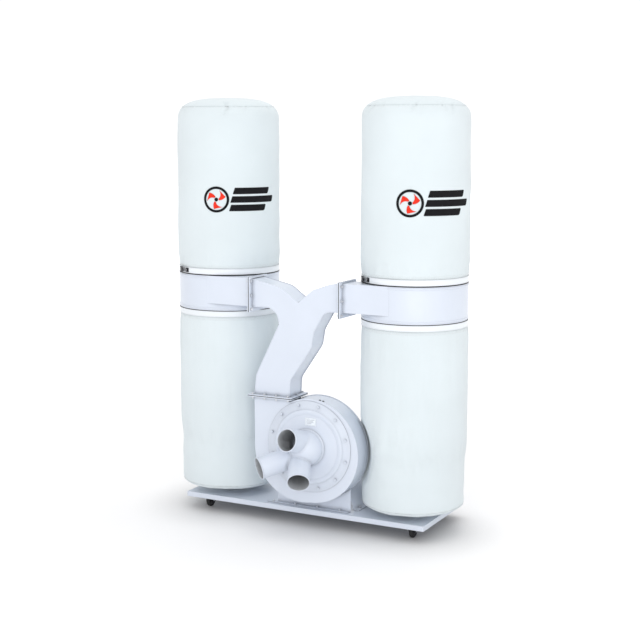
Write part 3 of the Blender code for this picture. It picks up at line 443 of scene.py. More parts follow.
def refine(node, material, edge=0.0008):
    """A copy of a CAD node with welded vertices, merged flats and softened edges, in its place."""
    shape = bmesh.new()
    shape.from_mesh(frame["nodes"][node].data)
    bmesh.ops.remove_doubles(shape, verts=shape.verts, dist=0.00002)
    bmesh.ops.dissolve_limit(shape, angle_limit=math.radians(1), verts=shape.verts, edges=shape.edges)
    piece(node + "_body", shape, material, stands_for=(node,), edge=edge)


# ---------------------------------------------------------------- rings, bands and latches
def bead(radius, middle, rise=0.0022, half=0.0045):
    """Outline of a half-round bead pressed outwards, from its upper side to its lower one."""
    return [(radius, middle + half), (radius + rise * 0.75, middle + half * 0.5), (radius + rise, middle),
            (radius + rise * 0.75, middle - half * 0.5), (radius, middle - half)]


def make_ring(side, sign):
    """Drum between two bags with its inlet stub, flange, side seam, rivets, and dark rubber edge trims that draw
    the shade lines at its wall's shoulders.
    """
    centre = Matrix.Translation(AXIS[side])
    outer = [(0, RING_HIGH), (COLLAR_R, RING_HIGH), (COLLAR_R, WALL_HIGH + 0.0012),
             (RING_R - 0.001, WALL_HIGH), (RING_R, WALL_HIGH - 0.001)]
    outer += bead(RING_R, WALL_HIGH - 0.012) + bead(RING_R, WALL_LOW + 0.012)
    outer += [(RING_R, WALL_LOW + 0.001), (RING_R - 0.001, WALL_LOW), (COLLAR_R, WALL_LOW - 0.0012),
              (COLLAR_R, RING_LOW), (0, RING_LOW)]
    drum = bmesh.new()
    lathe(drum, outer, ROUND, centre, closed=False)
    flange_low, flange_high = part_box(f"{side}_duct_gasket")
    gasket_far = flange_low.x if sign < 0 else flange_high.x
    face = gasket_far + sign * GAP
    inner_x = AXIS[side].x - sign * 0.02
    stub = bmesh.new()
    ends = sorted((inner_x, face + sign * 0.002))
    block(stub, (ends[0], CASE_FRONT, BRANCH_LOW), (ends[1], CASE_BACK, BRANCH_HIGH))
    flange = bmesh.new()
    ends = sorted((face, face + sign * FLANGE))
    block(flange, (ends[0], flange_low.y, flange_low.z), (ends[1], flange_high.y, flange_high.z))
    hollow = bmesh.new()
    bore = COLLAR_R - SHEET
    inner = [(0, RING_HIGH + 0.01), (bore, RING_HIGH + 0.01), (bore, WALL_HIGH - SHEET),
             (RING_R - SHEET, WALL_HIGH - 2 * SHEET), (RING_R - SHEET, WALL_LOW + 2 * SHEET),
             (bore, WALL_LOW + SHEET), (bore, RING_LOW - 0.01), (0, RING_LOW - 0.01)]
    lathe(hollow, inner, ROUND, centre, closed=False)
    way = bmesh.new()
    ends = sorted((inner_x + sign * 0.01, face - sign * 0.02))
    block(way, (ends[0], CASE_FRONT + SHEET, BRANCH_LOW + SHEET),
          (ends[1], CASE_BACK - SHEET, BRANCH_HIGH - SHEET))
    steps = [("UNION", stub), ("UNION", flange), ("DIFFERENCE", hollow), ("DIFFERENCE", way)]
    mesh = carved("ring", drum, steps)
    finished(f"{side}_ring_shell", mesh, PAINT, stands_for=(f"{side}_ring",), edge=0.0009)

    seam = bmesh.new()
    out = radial(math.radians(62 if sign < 0 else 118))
    lap = axes_at(AXIS[side] + out * RING_R, Vector((-out.y, out.x, 0)), out)
    block(seam, (-0.008, -0.0005, WALL_LOW + 0.018), (0.008, 0.0016, WALL_HIGH - 0.018), lap)
    piece(f"{side}_ring_seam", seam, PAINT, edge=0.0006)
    rivets = bmesh.new()
    for height in (0.035, 0.070, 0.105, 0.140):
        head = facing(AXIS[side] + out * (RING_R + 0.0016) + Vector((0, 0, WALL_LOW + height)), out)
        profile = [(0, 0), (0.0032, 0), (0.0028, 0.0010), (0.0016, 0.0017), (0, 0.0019)]
        lathe(rivets, profile, 16, head, False)
    piece(f"{side}_ring_rivets", rivets, STEEL)

    # painted shade: thin dark rubber rings round the top and bottom of the wall stand where shade lines fall in
    # the gaps
    trim = bmesh.new()
    lip = RING_R + 0.0015
    for low, high in ((WALL_HIGH - 0.0035, WALL_HIGH + 0.0018), (WALL_LOW - 0.0016, WALL_LOW + 0.0018)):
        profile = [(RING_R + 0.0001, low), (lip - 0.0004, low), (lip, low + 0.0008), (lip, high - 0.0008),
                   (lip - 0.0004, high), (RING_R - 0.002, high), (RING_R - 0.002, high - 0.0005),
                   (RING_R + 0.0001, high - 0.001)]
        lathe(trim, profile, ROUND, centre)
    piece(f"{side}_shade_line_trim", trim, RUBBER)


def latch_axes(angle):
    """The outward and the sideways direction at an angle round a column."""
    turn = math.radians(angle)
    return radial(turn), Vector((-math.sin(turn), math.cos(turn), 0))


def make_band(name, side, latch):
    """Rolled-edge strap, its hook and ears, the cam lever and the wire loop that the lever pulls."""
    low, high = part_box(f"{name}_band")
    height = high.z - low.z
    inner = 0.2441
    sheet = 0.0018
    outer = inner + sheet
    lip = 0.0012
    edge = outer + lip
    profile = [(inner, low.z + 0.0006), (inner + 0.0005, low.z), (edge - 0.0006, low.z),
               (edge, low.z + 0.0008), (edge - 0.0004, low.z + 0.0022), (outer, low.z + 0.0032)]
    middle = (low.z + high.z) / 2
    profile += [(radius, 2 * middle - up) for radius, up in reversed(profile)]
    strap = bmesh.new()
    lathe(strap, profile, ROUND, Matrix.Translation(AXIS[side]))
    piece(f"{name}_strap", strap, STRAP, stands_for=(f"{name}_band",))

    joint = next(entry for entry in frame["joints"] if entry["name"] == latch + "_swing")
    hinge = Vector(joint["pos_m"])
    arm = hinge - AXIS[side]
    angle = math.degrees(math.atan2(arm.y, arm.x))
    place = axes_at(hinge, *latch_axes(angle))
    fittings = bmesh.new()
    standoff = Vector((arm.x, arm.y)).length - outer
    saddle_low = -standoff + 0.0002
    for sign in (-1, 1):
        ear = rounded([(saddle_low, -0.007, 0.001), (0.004, -0.004, 0.003), (0.004, 0.004, 0.003),
                       (saddle_low, 0.007, 0.001)], 4)
        slab(fittings, [ear], 0.0018, place @ Matrix.Translation((0, 0, sign * (height / 2 - 0.0018))))
    block(fittings, (saddle_low - 0.0004, -0.010, -height / 2 + 0.001),
          (saddle_low + 0.0012, 0.008, height / 2 - 0.001), place)
    hook_angle = angle + math.degrees(0.058 / outer)
    hook_out, hook_along = latch_axes(hook_angle)
    hook = axes_at(AXIS[side] + hook_out * outer + Vector((0, 0, hinge.z)), hook_out, hook_along)
    block(fittings, (-0.0002, -0.008, -0.010), (0.0012, 0.012, 0.010), hook)
    claw = rounded([(0.0008, -0.004, 0.0008), (0.0045, -0.003, 0.001), (0.0058, -0.007, 0.0008),
                    (0.0072, -0.006, 0.0008), (0.0060, 0.001, 0.0012), (0.0008, 0.002, 0.0008)], 3)
    slab(fittings, [claw], 0.017, hook)
    for up in (-0.006, 0.006):
        head = hook @ facing((0.0012, 0.006, up), (1, 0, 0))
        lathe(fittings, [(0, 0), (0.0022, 0), (0.0018, 0.0007), (0, 0.0010)], 12, head, False)
    piece(f"{name}_latch_fittings", fittings, BLACKENED, edge=0.0003)

    lever = bmesh.new()
    half = height / 2 - 0.004
    length = 0.042
    back = [(0.0005, -0.001), (0.0030, 0.004), (0.0042, 0.012), (0.0036, 0.024), (0.0030, 0.034),
            (0.0052, length - 0.002), (0.0066, length)]
    slab(lever, [back + [(x - 0.0014, y + 0.0003) for x, y in reversed(back)]], 2 * half, place)
    for sign in (-1, 1):
        cheek = [(-0.003, -0.003), (0.0016, -0.004), (0.0036, 0.004), (0.0040, 0.013), (0.0032, 0.026),
                 (0.0016, 0.026), (-0.0005, 0.012), (-0.003, 0.003)]
        slab(lever, [cheek], 0.0012, place @ Matrix.Translation((0, 0, sign * (half - 0.0006))))
    pin = [(0, height / 2 - 0.0005), (0.0028, height / 2 - 0.0005), (0.0028, height / 2 - 0.0012),
           (0.0014, height / 2 - 0.0014)]
    pin = [(radius, -up) for radius, up in pin] + list(reversed(pin))
    lathe(lever, pin, 16, place, False)
    piece(f"{name}_lever", lever, BLACKENED, latch, "dark_steel", (f"{name}_latch_lever",), edge=0.0003)
    make_latch_wire(f"{name}_latch_wire", place, hook, latch, half - 0.0035)


def make_latch_wire(name, place, hook, body, half):
    """The wire loop from the lever's cam round the hook's claw."""
    start = place @ Vector((0.0018, 0.008, 0))
    end = hook @ Vector((0.0058, -0.0010, 0))
    up = Vector((0, 0, half))
    middle = (start + end) / 2
    column = AXIS["left" if middle.x < 0 else "right"]
    lift = middle - Vector((column.x, column.y, middle.z))
    middle += lift.normalized() * 0.002
    route = [start + up * 0.2, start + up * 0.9, middle + up, end + up * 0.95, end + up * 0.55,
             end - up * 0.55, end - up * 0.95, middle - up, start - up * 0.9, start - up * 0.2]
    curve = bpy.data.curves.new(name, "CURVE")
    curve.dimensions = "3D"
    curve.bevel_depth = 0.0011
    curve.bevel_resolution = 3
    curve.resolution_u = 6
    curve.use_fill_caps = True
    spline = curve.splines.new("NURBS")
    spline.points.add(len(route) - 1)
    for point, target in zip(spline.points, route):
        point.co = (*target, 1)
    spline.order_u = 3
    spline.use_endpoint_u = True
    curve.materials.append(STEEL)
    item = bpy.data.objects.new(name, curve)
    bpy.context.scene.collection.objects.link(item)
    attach(item, body)


# ---------------------------------------------------------------- ducts and blower
def frame_plate(shape, low, high, hole_low, hole_high, thickness, place):
    """Add a flat rectangular frame."""
    slab(shape, [rectangle(low, high), rectangle(hole_low, hole_high)], thickness, place)


def outlet_flange(shape, low, high, middle):
    """The flat frame round the blower's outlet, which the duct's foot repeats."""
    frame_plate(shape, (low.x, low.y), (OUTLET_RIGHT + FLANGE_LIP, high.y), (OUTLET_LEFT, CASE_FRONT),
                (OUTLET_RIGHT, CASE_BACK), FLANGE, Matrix.Translation((0, 0, middle)))


def make_y_duct():
    """Two flat cheeks with bent sheet between them, flanged at the throat and at both branches."""
    low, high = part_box("y_duct")
    throat = low.z
    left_end, right_end = -0.229, 0.239
    floor, roof = BRANCH_LOW, BRANCH_HIGH
    right_path = rounded([(OUTLET_RIGHT, throat, 0), (-0.024, 0.708, 0.05), (0.088, 0.872, 0.08),
                          (0.100, 0.945, 0.08), (0.158, floor, 0.05), (right_end, floor, 0)], 8)
    roof_path = rounded([(right_end, roof, 0), (0.185, 1.171, 0.06), (0.095, 1.140, 0.06),
                         (0.0206, 1.076, 0.004), (-0.072, 1.143, 0.10), (left_end, roof, 0)], 8)
    left_path = rounded([(left_end, floor, 0), (-0.042, floor + 0.002, 0.065), (-0.205, 0.722, 0.08),
                         (OUTLET_LEFT, throat, 0)], 8)
    duct = bmesh.new()
    whole = right_path + roof_path + left_path
    for front in (CASE_FRONT, CASE_BACK - SHEET):
        slab(duct, [whole], SHEET, standing(front + SHEET / 2))
    lap = 0.0018
    for path in (right_path, roof_path, left_path):
        wall(duct, inset(path, lap), CASE_FRONT + SHEET, CASE_BACK - SHEET, SHEET)
    outlet_flange(duct, low, high, throat + FLANGE / 2)
    for x in (left_end + 0.0015, right_end - 0.0015):
        frame_plate(duct, (low.y, 1.020), (high.y, high.z), (CASE_FRONT, floor), (CASE_BACK, roof),
                    FLANGE, Matrix.Translation((x, 0, 0)) @ SIDEWAYS)
    piece("y_duct_shell", duct, PAINT, stands_for=("y_duct",), edge=0.0007)
    welds = bmesh.new()
    for path in (right_path, left_path):
        for y in (CASE_FRONT + 0.0006, CASE_BACK - 0.0006):
            points = [Vector((x, y, z)) for x, z in path]
            weld_bead(welds, points, 0.0016)
    piece("y_duct_welds", welds, PAINT)


def weld_bead(shape, points, radius, sides=6):
    """A thin rippled bead laid along a route."""
    rings = []
    for index, point in enumerate(points):
        ahead = points[min(index + 1, len(points) - 1)] - points[max(index - 1, 0)]
        place = facing(point, ahead)
        swell = radius * (1 + 0.12 * math.sin(index * 2.1))
        rings.append([shape.verts.new(place @ Vector((swell * math.cos(turn), swell * math.sin(turn), 0)))
                      for turn in turns_round(sides)])
    for first, second in zip(rings, rings[1:]):
        for step in range(sides):
            after = (step + 1) % sides
            shape.faces.new([first[step], first[after], second[after], second[step]])
    shape.faces.new(rings[0])
    shape.faces.new(list(reversed(rings[-1])))


def scroll_path(pull=0.0):
    """Scroll outline from the outlet's right edge, clockwise round the bottom, to its left edge."""
    radius = SCROLL_R - pull
    centre = SCROLL_CENTRE
    right = OUTLET_RIGHT - pull
    left = OUTLET_LEFT + pull
    growth = 0.0508
    round_steps, spiral_steps = 60, 18
    start = math.acos((right - centre.x) / radius)
    points = [(right, OUTLET_TOP)]
    for step in range(round_steps + 1):
        turn = start - (start + math.pi / 2) * step / round_steps
        points.append((centre.x + radius * math.cos(turn), centre.z + radius * math.sin(turn)))
    for step in range(1, spiral_steps + 1):
        part = step / spiral_steps
        turn = -math.pi / 2 * (1 + part)
        grown = radius + growth * math.sin(part * math.pi / 2)
        points.append((max(left, centre.x + grown * math.cos(turn)), centre.z + grown * math.sin(turn)))
    return points + [(left, OUTLET_TOP)]


def make_casing():
    """Two flat cheeks welded to the wrapper that follows the scroll, and the outlet flange."""
    low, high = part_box("blower_casing")
    sheet = 0.003
    casing = bmesh.new()
    outline = scroll_path()
    opening = circle(DISC_R + 0.002, (SHAFT.x, SHAFT.z), 96)
    shaft_hole = circle(0.035, (SHAFT.x, SHAFT.z), 48)
    slab(casing, [outline, opening], sheet, standing(CASE_FRONT + sheet / 2))
    slab(casing, [outline, shaft_hole], sheet, standing(CASE_BACK - sheet / 2))
    lap = sheet
    slab(casing, [scroll_path(lap) + list(reversed(scroll_path(lap + sheet)))],
         CASE_BACK - CASE_FRONT - 2 * sheet, standing((CASE_FRONT + CASE_BACK) / 2))
    outlet_flange(casing, low, high, OUTLET_TOP - 0.0018)
    piece("blower_casing_shell", casing, PAINT, stands_for=("blower_casing",), edge=0.0009)
    welds = bmesh.new()
    for y in (CASE_FRONT + sheet + 0.0004, CASE_BACK - sheet - 0.0004):
        weld_bead(welds, [Vector((x, y, z)) for x, z in scroll_path(lap - 0.0004)[1:]], 0.0018)
    piece("blower_welds", welds, PAINT)
    plugs = bmesh.new()
    for turn in (80.6, 76.5):
        turn = math.radians(turn)
        out = Vector((math.cos(turn), 0, math.sin(turn)))
        spot = SCROLL_CENTRE + Vector((0, CASE_FRONT + 0.022, 0)) + out * (SCROLL_R - lap)
        lathe(plugs, [(0, 0), (0.0055, 0), (0.0052, 0.0012), (0.0040, 0.0022), (0, 0.0024)], 20,
              facing(spot, out), False)
    piece("casing_plugs", plugs, RUBBER)


def make_inlet_plate():
    """Pressed cover with a rounded step, a rolled inner rim and a ring of bolts."""
    rise = 0.012
    sheet = 0.003
    disc = DISC_R
    eye = 0.0715
    back = CASE_FRONT - GAP
    place = facing((SHAFT.x, back, SHAFT.z), (0, -1, 0))
    step = [(disc - 0.010, rise), (disc - 0.006, rise - 0.0006), (disc - 0.003, rise - 0.0026),
            (disc - 0.0012, rise - 0.0055), (disc - 0.0002, sheet + 0.002), (disc + 0.002, sheet)]
    groove = [(disc - 0.020, rise), (disc - 0.023, rise - 0.0014), (disc - 0.026, rise - 0.0014),
              (disc - 0.029, rise)]
    outer = [(PLATE_R - 0.0006, 0), (PLATE_R, 0.0008), (PLATE_R, sheet - 0.0008), (PLATE_R - 0.0008, sheet)]
    inside = [(eye, rise), (eye, rise - sheet), (disc - 0.012, rise - sheet), (disc - 0.004, 0)]
    plate = bmesh.new()
    lathe(plate, outer + list(reversed(step)) + groove + inside, ROUND, place)
    piece("inlet_cover", plate, PAINT, stands_for=("inlet_plate",), smooth=50)
    bolts = bmesh.new()
    ring = (PLATE_R + disc) / 2 + 0.003
    for turn in turns_round(12, 0.5):
        bolt(bolts, facing(round_shaft(ring, turn, back - sheet), (0, -1, 0)), 0.010)
    piece("inlet_cover_bolts", bolts, PAINT, edge=0.0003)


# each hose port: its mouth's place from the hub, then its outward direction, both with Y towards the front
MANIFOLD_PORTS = (((-0.0235, 0.162, 0.064), (-0.12, 0.96, 0.24)),
                  ((-0.1686, 0.162, -0.0856), (-0.64, 0.73, -0.23)),
                  ((0.038, 0.162, -0.128), (0.37, 0.79, -0.49)))


def make_manifold():
    """Domed hub whose three hose ports are blended in with smooth welded fillets."""
    hub = Vector((SHAFT.x, PLATE_FACE - GAP, SHAFT.z))
    forward = facing(hub, (0, -1, 0))
    port_r = 0.0515
    port_bore = port_r - SHEET
    hub_r = 0.081
    hub_bore = hub_r - SHEET
    base_r = 0.0874
    neck = 0.020
    ports = []
    for mouth, outward in MANIFOLD_PORTS:
        direction = Vector((outward[0], -outward[1], outward[2])).normalized()
        ports.append((hub + Vector((mouth[0], -mouth[1], mouth[2])), direction))

    def dome(radius, back):
        turns = [math.pi / 2 * (12 - step) / 12 for step in range(1, 13)]
        side = [(radius * math.cos(turn), neck + radius * math.sin(turn)) for turn in turns]
        return [(0, neck + radius)] + side + [(radius, back), (0, back)]

    solid = bmesh.new()
    lathe(solid, dome(hub_r, -0.012), 72, forward, closed=False)
    base = [(0, -0.012), (base_r, -0.012), (base_r, 0.004), (base_r - 0.001, 0.005), (0, 0.005)]
    lathe(solid, base, 72, forward, False)
    for mouth, direction in ports:
        rod(solid, mouth - direction * 0.20, mouth + direction * 0.006, port_r, 64)
    bmesh.ops.recalc_face_normals(solid, faces=solid.faces)
    mesh = bpy.data.meshes.new("manifold")
    solid.to_mesh(mesh)
    solid.free()
    blank = bpy.data.objects.new("manifold", mesh)
    bpy.context.scene.collection.objects.link(blank)
    remesh = blank.modifiers.new("remesh", "REMESH")
    remesh.mode = "VOXEL"
    remesh.voxel_size = 0.0022
    relax = blank.modifiers.new("relax", "SMOOTH")
    relax.factor = 0.5
    relax.iterations = 5
    blended = bmesh.new()
    blended.from_mesh(baked(blank))
    tools = []
    hollow = bmesh.new()
    lathe(hollow, dome(hub_bore, -0.03), 72, forward, closed=False)
    tools.append(("DIFFERENCE", hollow))
    for mouth, direction in ports:
        bore = bmesh.new()
        rod(bore, mouth - direction * 0.13, mouth + direction * 0.02, port_bore, 64)
        tools.append(("DIFFERENCE", bore))
    for mouth, direction in ports:
        trim = bmesh.new()
        rod(trim, mouth - direction * 0.0010, mouth + direction * 0.02, port_r + 0.006, 48)
        tools.append(("DIFFERENCE", trim))
    behind = bmesh.new()
    block(behind, hub + Vector((-0.4, 0, -0.4)), hub + Vector((0.4, 0.4, 0.4)))
    tools.append(("DIFFERENCE", behind))
    mesh = carved("inlet_manifold", blended, tools, solver="MANIFOLD")
    shell = finished("manifold_shell", mesh, PAINT, stands_for=("inlet_manifold",), smooth=50)
    # the inner faces of hub and ports take the bore material, whose darkening is painted shade
    mesh.materials.append(BORE)
    dome_middle = hub + Vector((0, -neck, 0))
    for face in mesh.polygons:
        inside = (face.center - dome_middle).length < hub_bore + 0.0006
        for mouth, direction in ports:
            reach = face.center - mouth
            along = reach.dot(direction)
            off_axis = (reach - direction * along).length
            inside = inside or (off_axis < port_bore + 0.0006 and -0.14 < along < -0.0012)
        face.material_index = int(inside)
    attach(shell, "chassis")
    rims = bmesh.new()
    for mouth, direction in ports:
        profile = [(port_bore, -0.0045), (port_bore, -0.0008), (port_bore + 0.0008, 0),
                   (port_r + 0.0010, 0), (port_r + 0.0020, -0.0010), (port_r + 0.0022, -0.0026),
                   (port_r + 0.0014, -0.0040), (port_r - 0.0004, -0.0046)]
        lathe(rims, profile, 72, facing(mouth, direction))
    piece("manifold_rims", rims, PAINT, smooth=50)


def make_flange_bolts():
    """Hexagon bolts with nuts round the outlet flange and down both branch flanges."""
    bolts = bmesh.new()
    low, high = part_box("outlet_gasket")
    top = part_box("y_duct")[0].z + FLANGE
    bottom = low.z - 0.0046
    front, back = low.y + 0.012, high.y - 0.012
    pitch = (high.x - low.x - 0.044) / 3
    spots = [(low.x + 0.022 + step * pitch, y) for y in (front, back) for step in range(4)]
    spots += [(low.x + 0.011, (front + back) / 2), (high.x - 0.010, (front + back) / 2)]
    for x, y in spots:
        bolt(bolts, facing((x, y, top), (0, 0, 1)), 0.010)
        bolt(bolts, facing((x, y, bottom), (0, 0, -1)), 0.010, stud=0.004)
    for side, sign in SIDES:
        low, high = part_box(f"{side}_duct_gasket")
        inner = (high.x if sign < 0 else low.x) - sign * 0.0043
        outer = (low.x if sign < 0 else high.x) + sign * 0.0043
        for y in (low.y + 0.012, high.y - 0.012):
            for z in (1.033, 1.099, 1.165):
                bolt(bolts, facing((inner, y, z), (-sign, 0, 0)), 0.010)
                bolt(bolts, facing((outer, y, z), (sign, 0, 0)), 0.010, stud=0.004)
    piece("flange_bolts", bolts, STEEL, edge=0.0003)


def make_label():
    """The cover's plate, with a printed border and plain lines in place of words."""
    low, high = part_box("label_plate")
    plate = bmesh.new()
    slab(plate, [rounded_box(low, high, 0.003, 4)], high.y - low.y, standing((low.y + high.y) / 2))
    piece("label_film", plate, LABEL, stands_for=("label_plate",), edge=0.0002)
    film = 0.0003
    print_face = low.y - film / 2
    lines = bmesh.new()
    frame_plate(lines, (low.x + 0.003, low.z + 0.003), (high.x - 0.003, high.z - 0.003),
                (low.x + 0.0037, low.z + 0.0037), (high.x - 0.0037, high.z - 0.0037),
                film, standing(print_face))
    for row, width in enumerate((0.042, 0.034, 0.038, 0.026)):
        z = high.z - 0.009 - row * 0.0055
        block(lines, (low.x + 0.008, print_face - film / 2, z - 0.0008),
              (low.x + 0.008 + width, print_face + film / 2, z + 0.0008))
    piece("label_lines", lines, INK_GREY)


# ---------------------------------------------------------------- base plate, supports and casters
def make_supports():
    """Base plate, saddle, motor stand, posts and gaskets with softened edges, and their bolts."""
    refine("base_plate", PAINT, 0.0016)
    refine("casing_saddle", PAINT, 0.0009)
    refine("motor_stand", PAINT, 0.0009)
    for side, _ in SIDES:
        refine(f"{side}_ring_post", PAINT, 0.0008)
    for gasket in ("outlet_gasket", "left_duct_gasket", "right_duct_gasket"):
        refine(gasket, RUBBER, 0.0003)
    bolts = bmesh.new()
    saddle_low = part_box("casing_saddle")[0]
    foot_top = DECK + 0.0043
    for step in range(4):
        x = saddle_low.x + 0.03 + step * 0.118
        bolt(bolts, facing((x, saddle_low.y + 0.012, foot_top), (0, 0, 1)), 0.010)
    low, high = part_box("motor_stand")
    for x in (low.x + 0.012, high.x - 0.012):
        for y in (low.y + 0.04, (low.y + high.y) / 2, high.y - 0.04):
            bolt(bolts, facing((x, y, foot_top), (0, 0, 1)), 0.012)
    for side, _ in SIDES:
        low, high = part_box(f"{side}_ring_post")
        middle = AXIS[side].x
        bolt(bolts, facing((middle, high.y - 0.014, DECK + 0.0053), (0, 0, 1)), 0.012)
        for z in (1.060, 1.120):
            bolt(bolts, facing((middle, low.y + 0.0055, z), (0, 1, 0)), 0.010)
    piece("support_bolts", bolts, STEEL, edge=0.0003)


def make_caster(name, swivel, roller):
    """Pressed fork with a ball race, an axle bolt and nut, and a wheel with a moulded hub."""
    wheel_low, wheel_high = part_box(name + "_wheel")
    hub = (wheel_low + wheel_high) / 2
    radius = (wheel_high.z - wheel_low.z) / 2
    half = (wheel_high.x - wheel_low.x) / 2
    plate_low, plate_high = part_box(name + "_plate")
    pin = Vector(((plate_low.x + plate_high.x) / 2, (plate_low.y + plate_high.y) / 2, plate_low.z))
    plate = bmesh.new()
    rim = 0.030
    outline = rounded([(-rim, -rim, 0.006), (rim, -rim, 0.006), (rim, rim, 0.006), (-rim, rim, 0.006)], 5)
    slab(plate, [outline, circle(0.0064, segments=24)], 0.003,
         Matrix.Translation((pin.x, pin.y, plate_low.z + 0.0015)))
    for x in (pin.x - 0.022, pin.x + 0.022):
        for y in (pin.y - 0.022, pin.y + 0.022):
            bolt(plate, facing((x, y, plate_low.z), (0, 0, -1)), 0.008)
    piece(name + "_top_plate", plate, STEEL, stands_for=(name + "_plate",), edge=0.0004)

    fork = bmesh.new()
    place = Matrix.Translation(pin)
    lathe(fork, [(0, -0.0006), (0.0055, -0.0006), (0.017, -0.0008), (0.0195, -0.0022), (0.0195, -0.0040),
                 (0.0175, -0.0056), (0.0125, -0.0062), (0, -0.0062)], 40, place, False)
    kingpin = [(0, 0.0026), (0.0048, 0.0026), (0.0058, 0.0018), (0.0058, -0.002), (0, -0.002)]
    lathe(fork, kingpin, 20, place, False)
    leg_in = half + 0.0018
    leg_out = leg_in + 0.0026
    block(fork, (-leg_out, -0.0165, -0.0068), (leg_out, hub.y - pin.y + 0.004, -0.0040), place)
    crown = pin.z - 0.0042
    leg = rounded([(pin.y - 0.0165, crown, 0.002), (pin.y - 0.015, crown - 0.008, 0.004),
                   (hub.y - 0.0095, hub.z - 0.0095, 0.008), (hub.y + 0.0095, hub.z - 0.0095, 0.008),
                   (hub.y + 0.0095, crown - 0.012, 0.006), (hub.y + 0.004, crown, 0.002)], 5)
    for sign in (-1, 1):
        beside = Matrix.Translation((hub.x + sign * (leg_in + leg_out) / 2, 0, 0))
        slab(fork, [leg], leg_out - leg_in, beside @ SIDEWAYS)
    # painted shade: the fork, zinc steel by its slot, takes the black oxide look for the dark it shows in shade
    # under the base
    piece(name + "_yoke", fork, BLACKENED, swivel, "zinc_steel", (name + "_fork",), edge=0.0005)
    axle = bmesh.new()
    reach = Vector((leg_out, 0, 0))
    rod(axle, hub - reach, hub + reach, 0.0036, 20)
    for sign in (-1, 1):
        bolt(axle, facing(hub + sign * reach, (sign, 0, 0)), 0.009, washer=False)
    piece(name + "_axle_bolt", axle, STEEL, swivel, "zinc_steel", (name + "_axle",), edge=0.0003)

    across = facing(hub, (1, 0, 0))
    tyre = [(0.0215, half - 0.004), (0.0240, half - 0.0015), (radius - 0.0050, half - 0.0004),
            (radius - 0.0015, half - 0.0030), (radius, half - 0.0062)]
    tyre += [(r, -h) for r, h in reversed(tyre)]
    wheel = bmesh.new()
    lathe(wheel, tyre, 64, across)
    piece(name + "_tyre", wheel, RUBBER, roller, "black_rubber", (name + "_wheel",), smooth=45)
    core = bmesh.new()
    face = half - 0.0045
    profile = [(0.0040, half), (0.0088, half), (0.0096, half - 0.0008), (0.0100, face), (0.0205, face),
               (0.0216, face + 0.0012)]
    profile += [(r, -h) for r, h in reversed(profile)]
    lathe(core, profile, 48, across)
    for index in range(6):
        spoke = across @ Matrix.Rotation(math.pi * index / 3, 4, "Z")
        for sign in (-1, 1):
            block(core, (0.0098, -0.0009, sign * face - 0.0002),
                  (0.0208, 0.0009, sign * face + 0.0016 * sign + 0.0002), spoke)
    piece(name + "_wheel_core", core, PLASTIC, roller, "black_rubber", edge=0.0002)


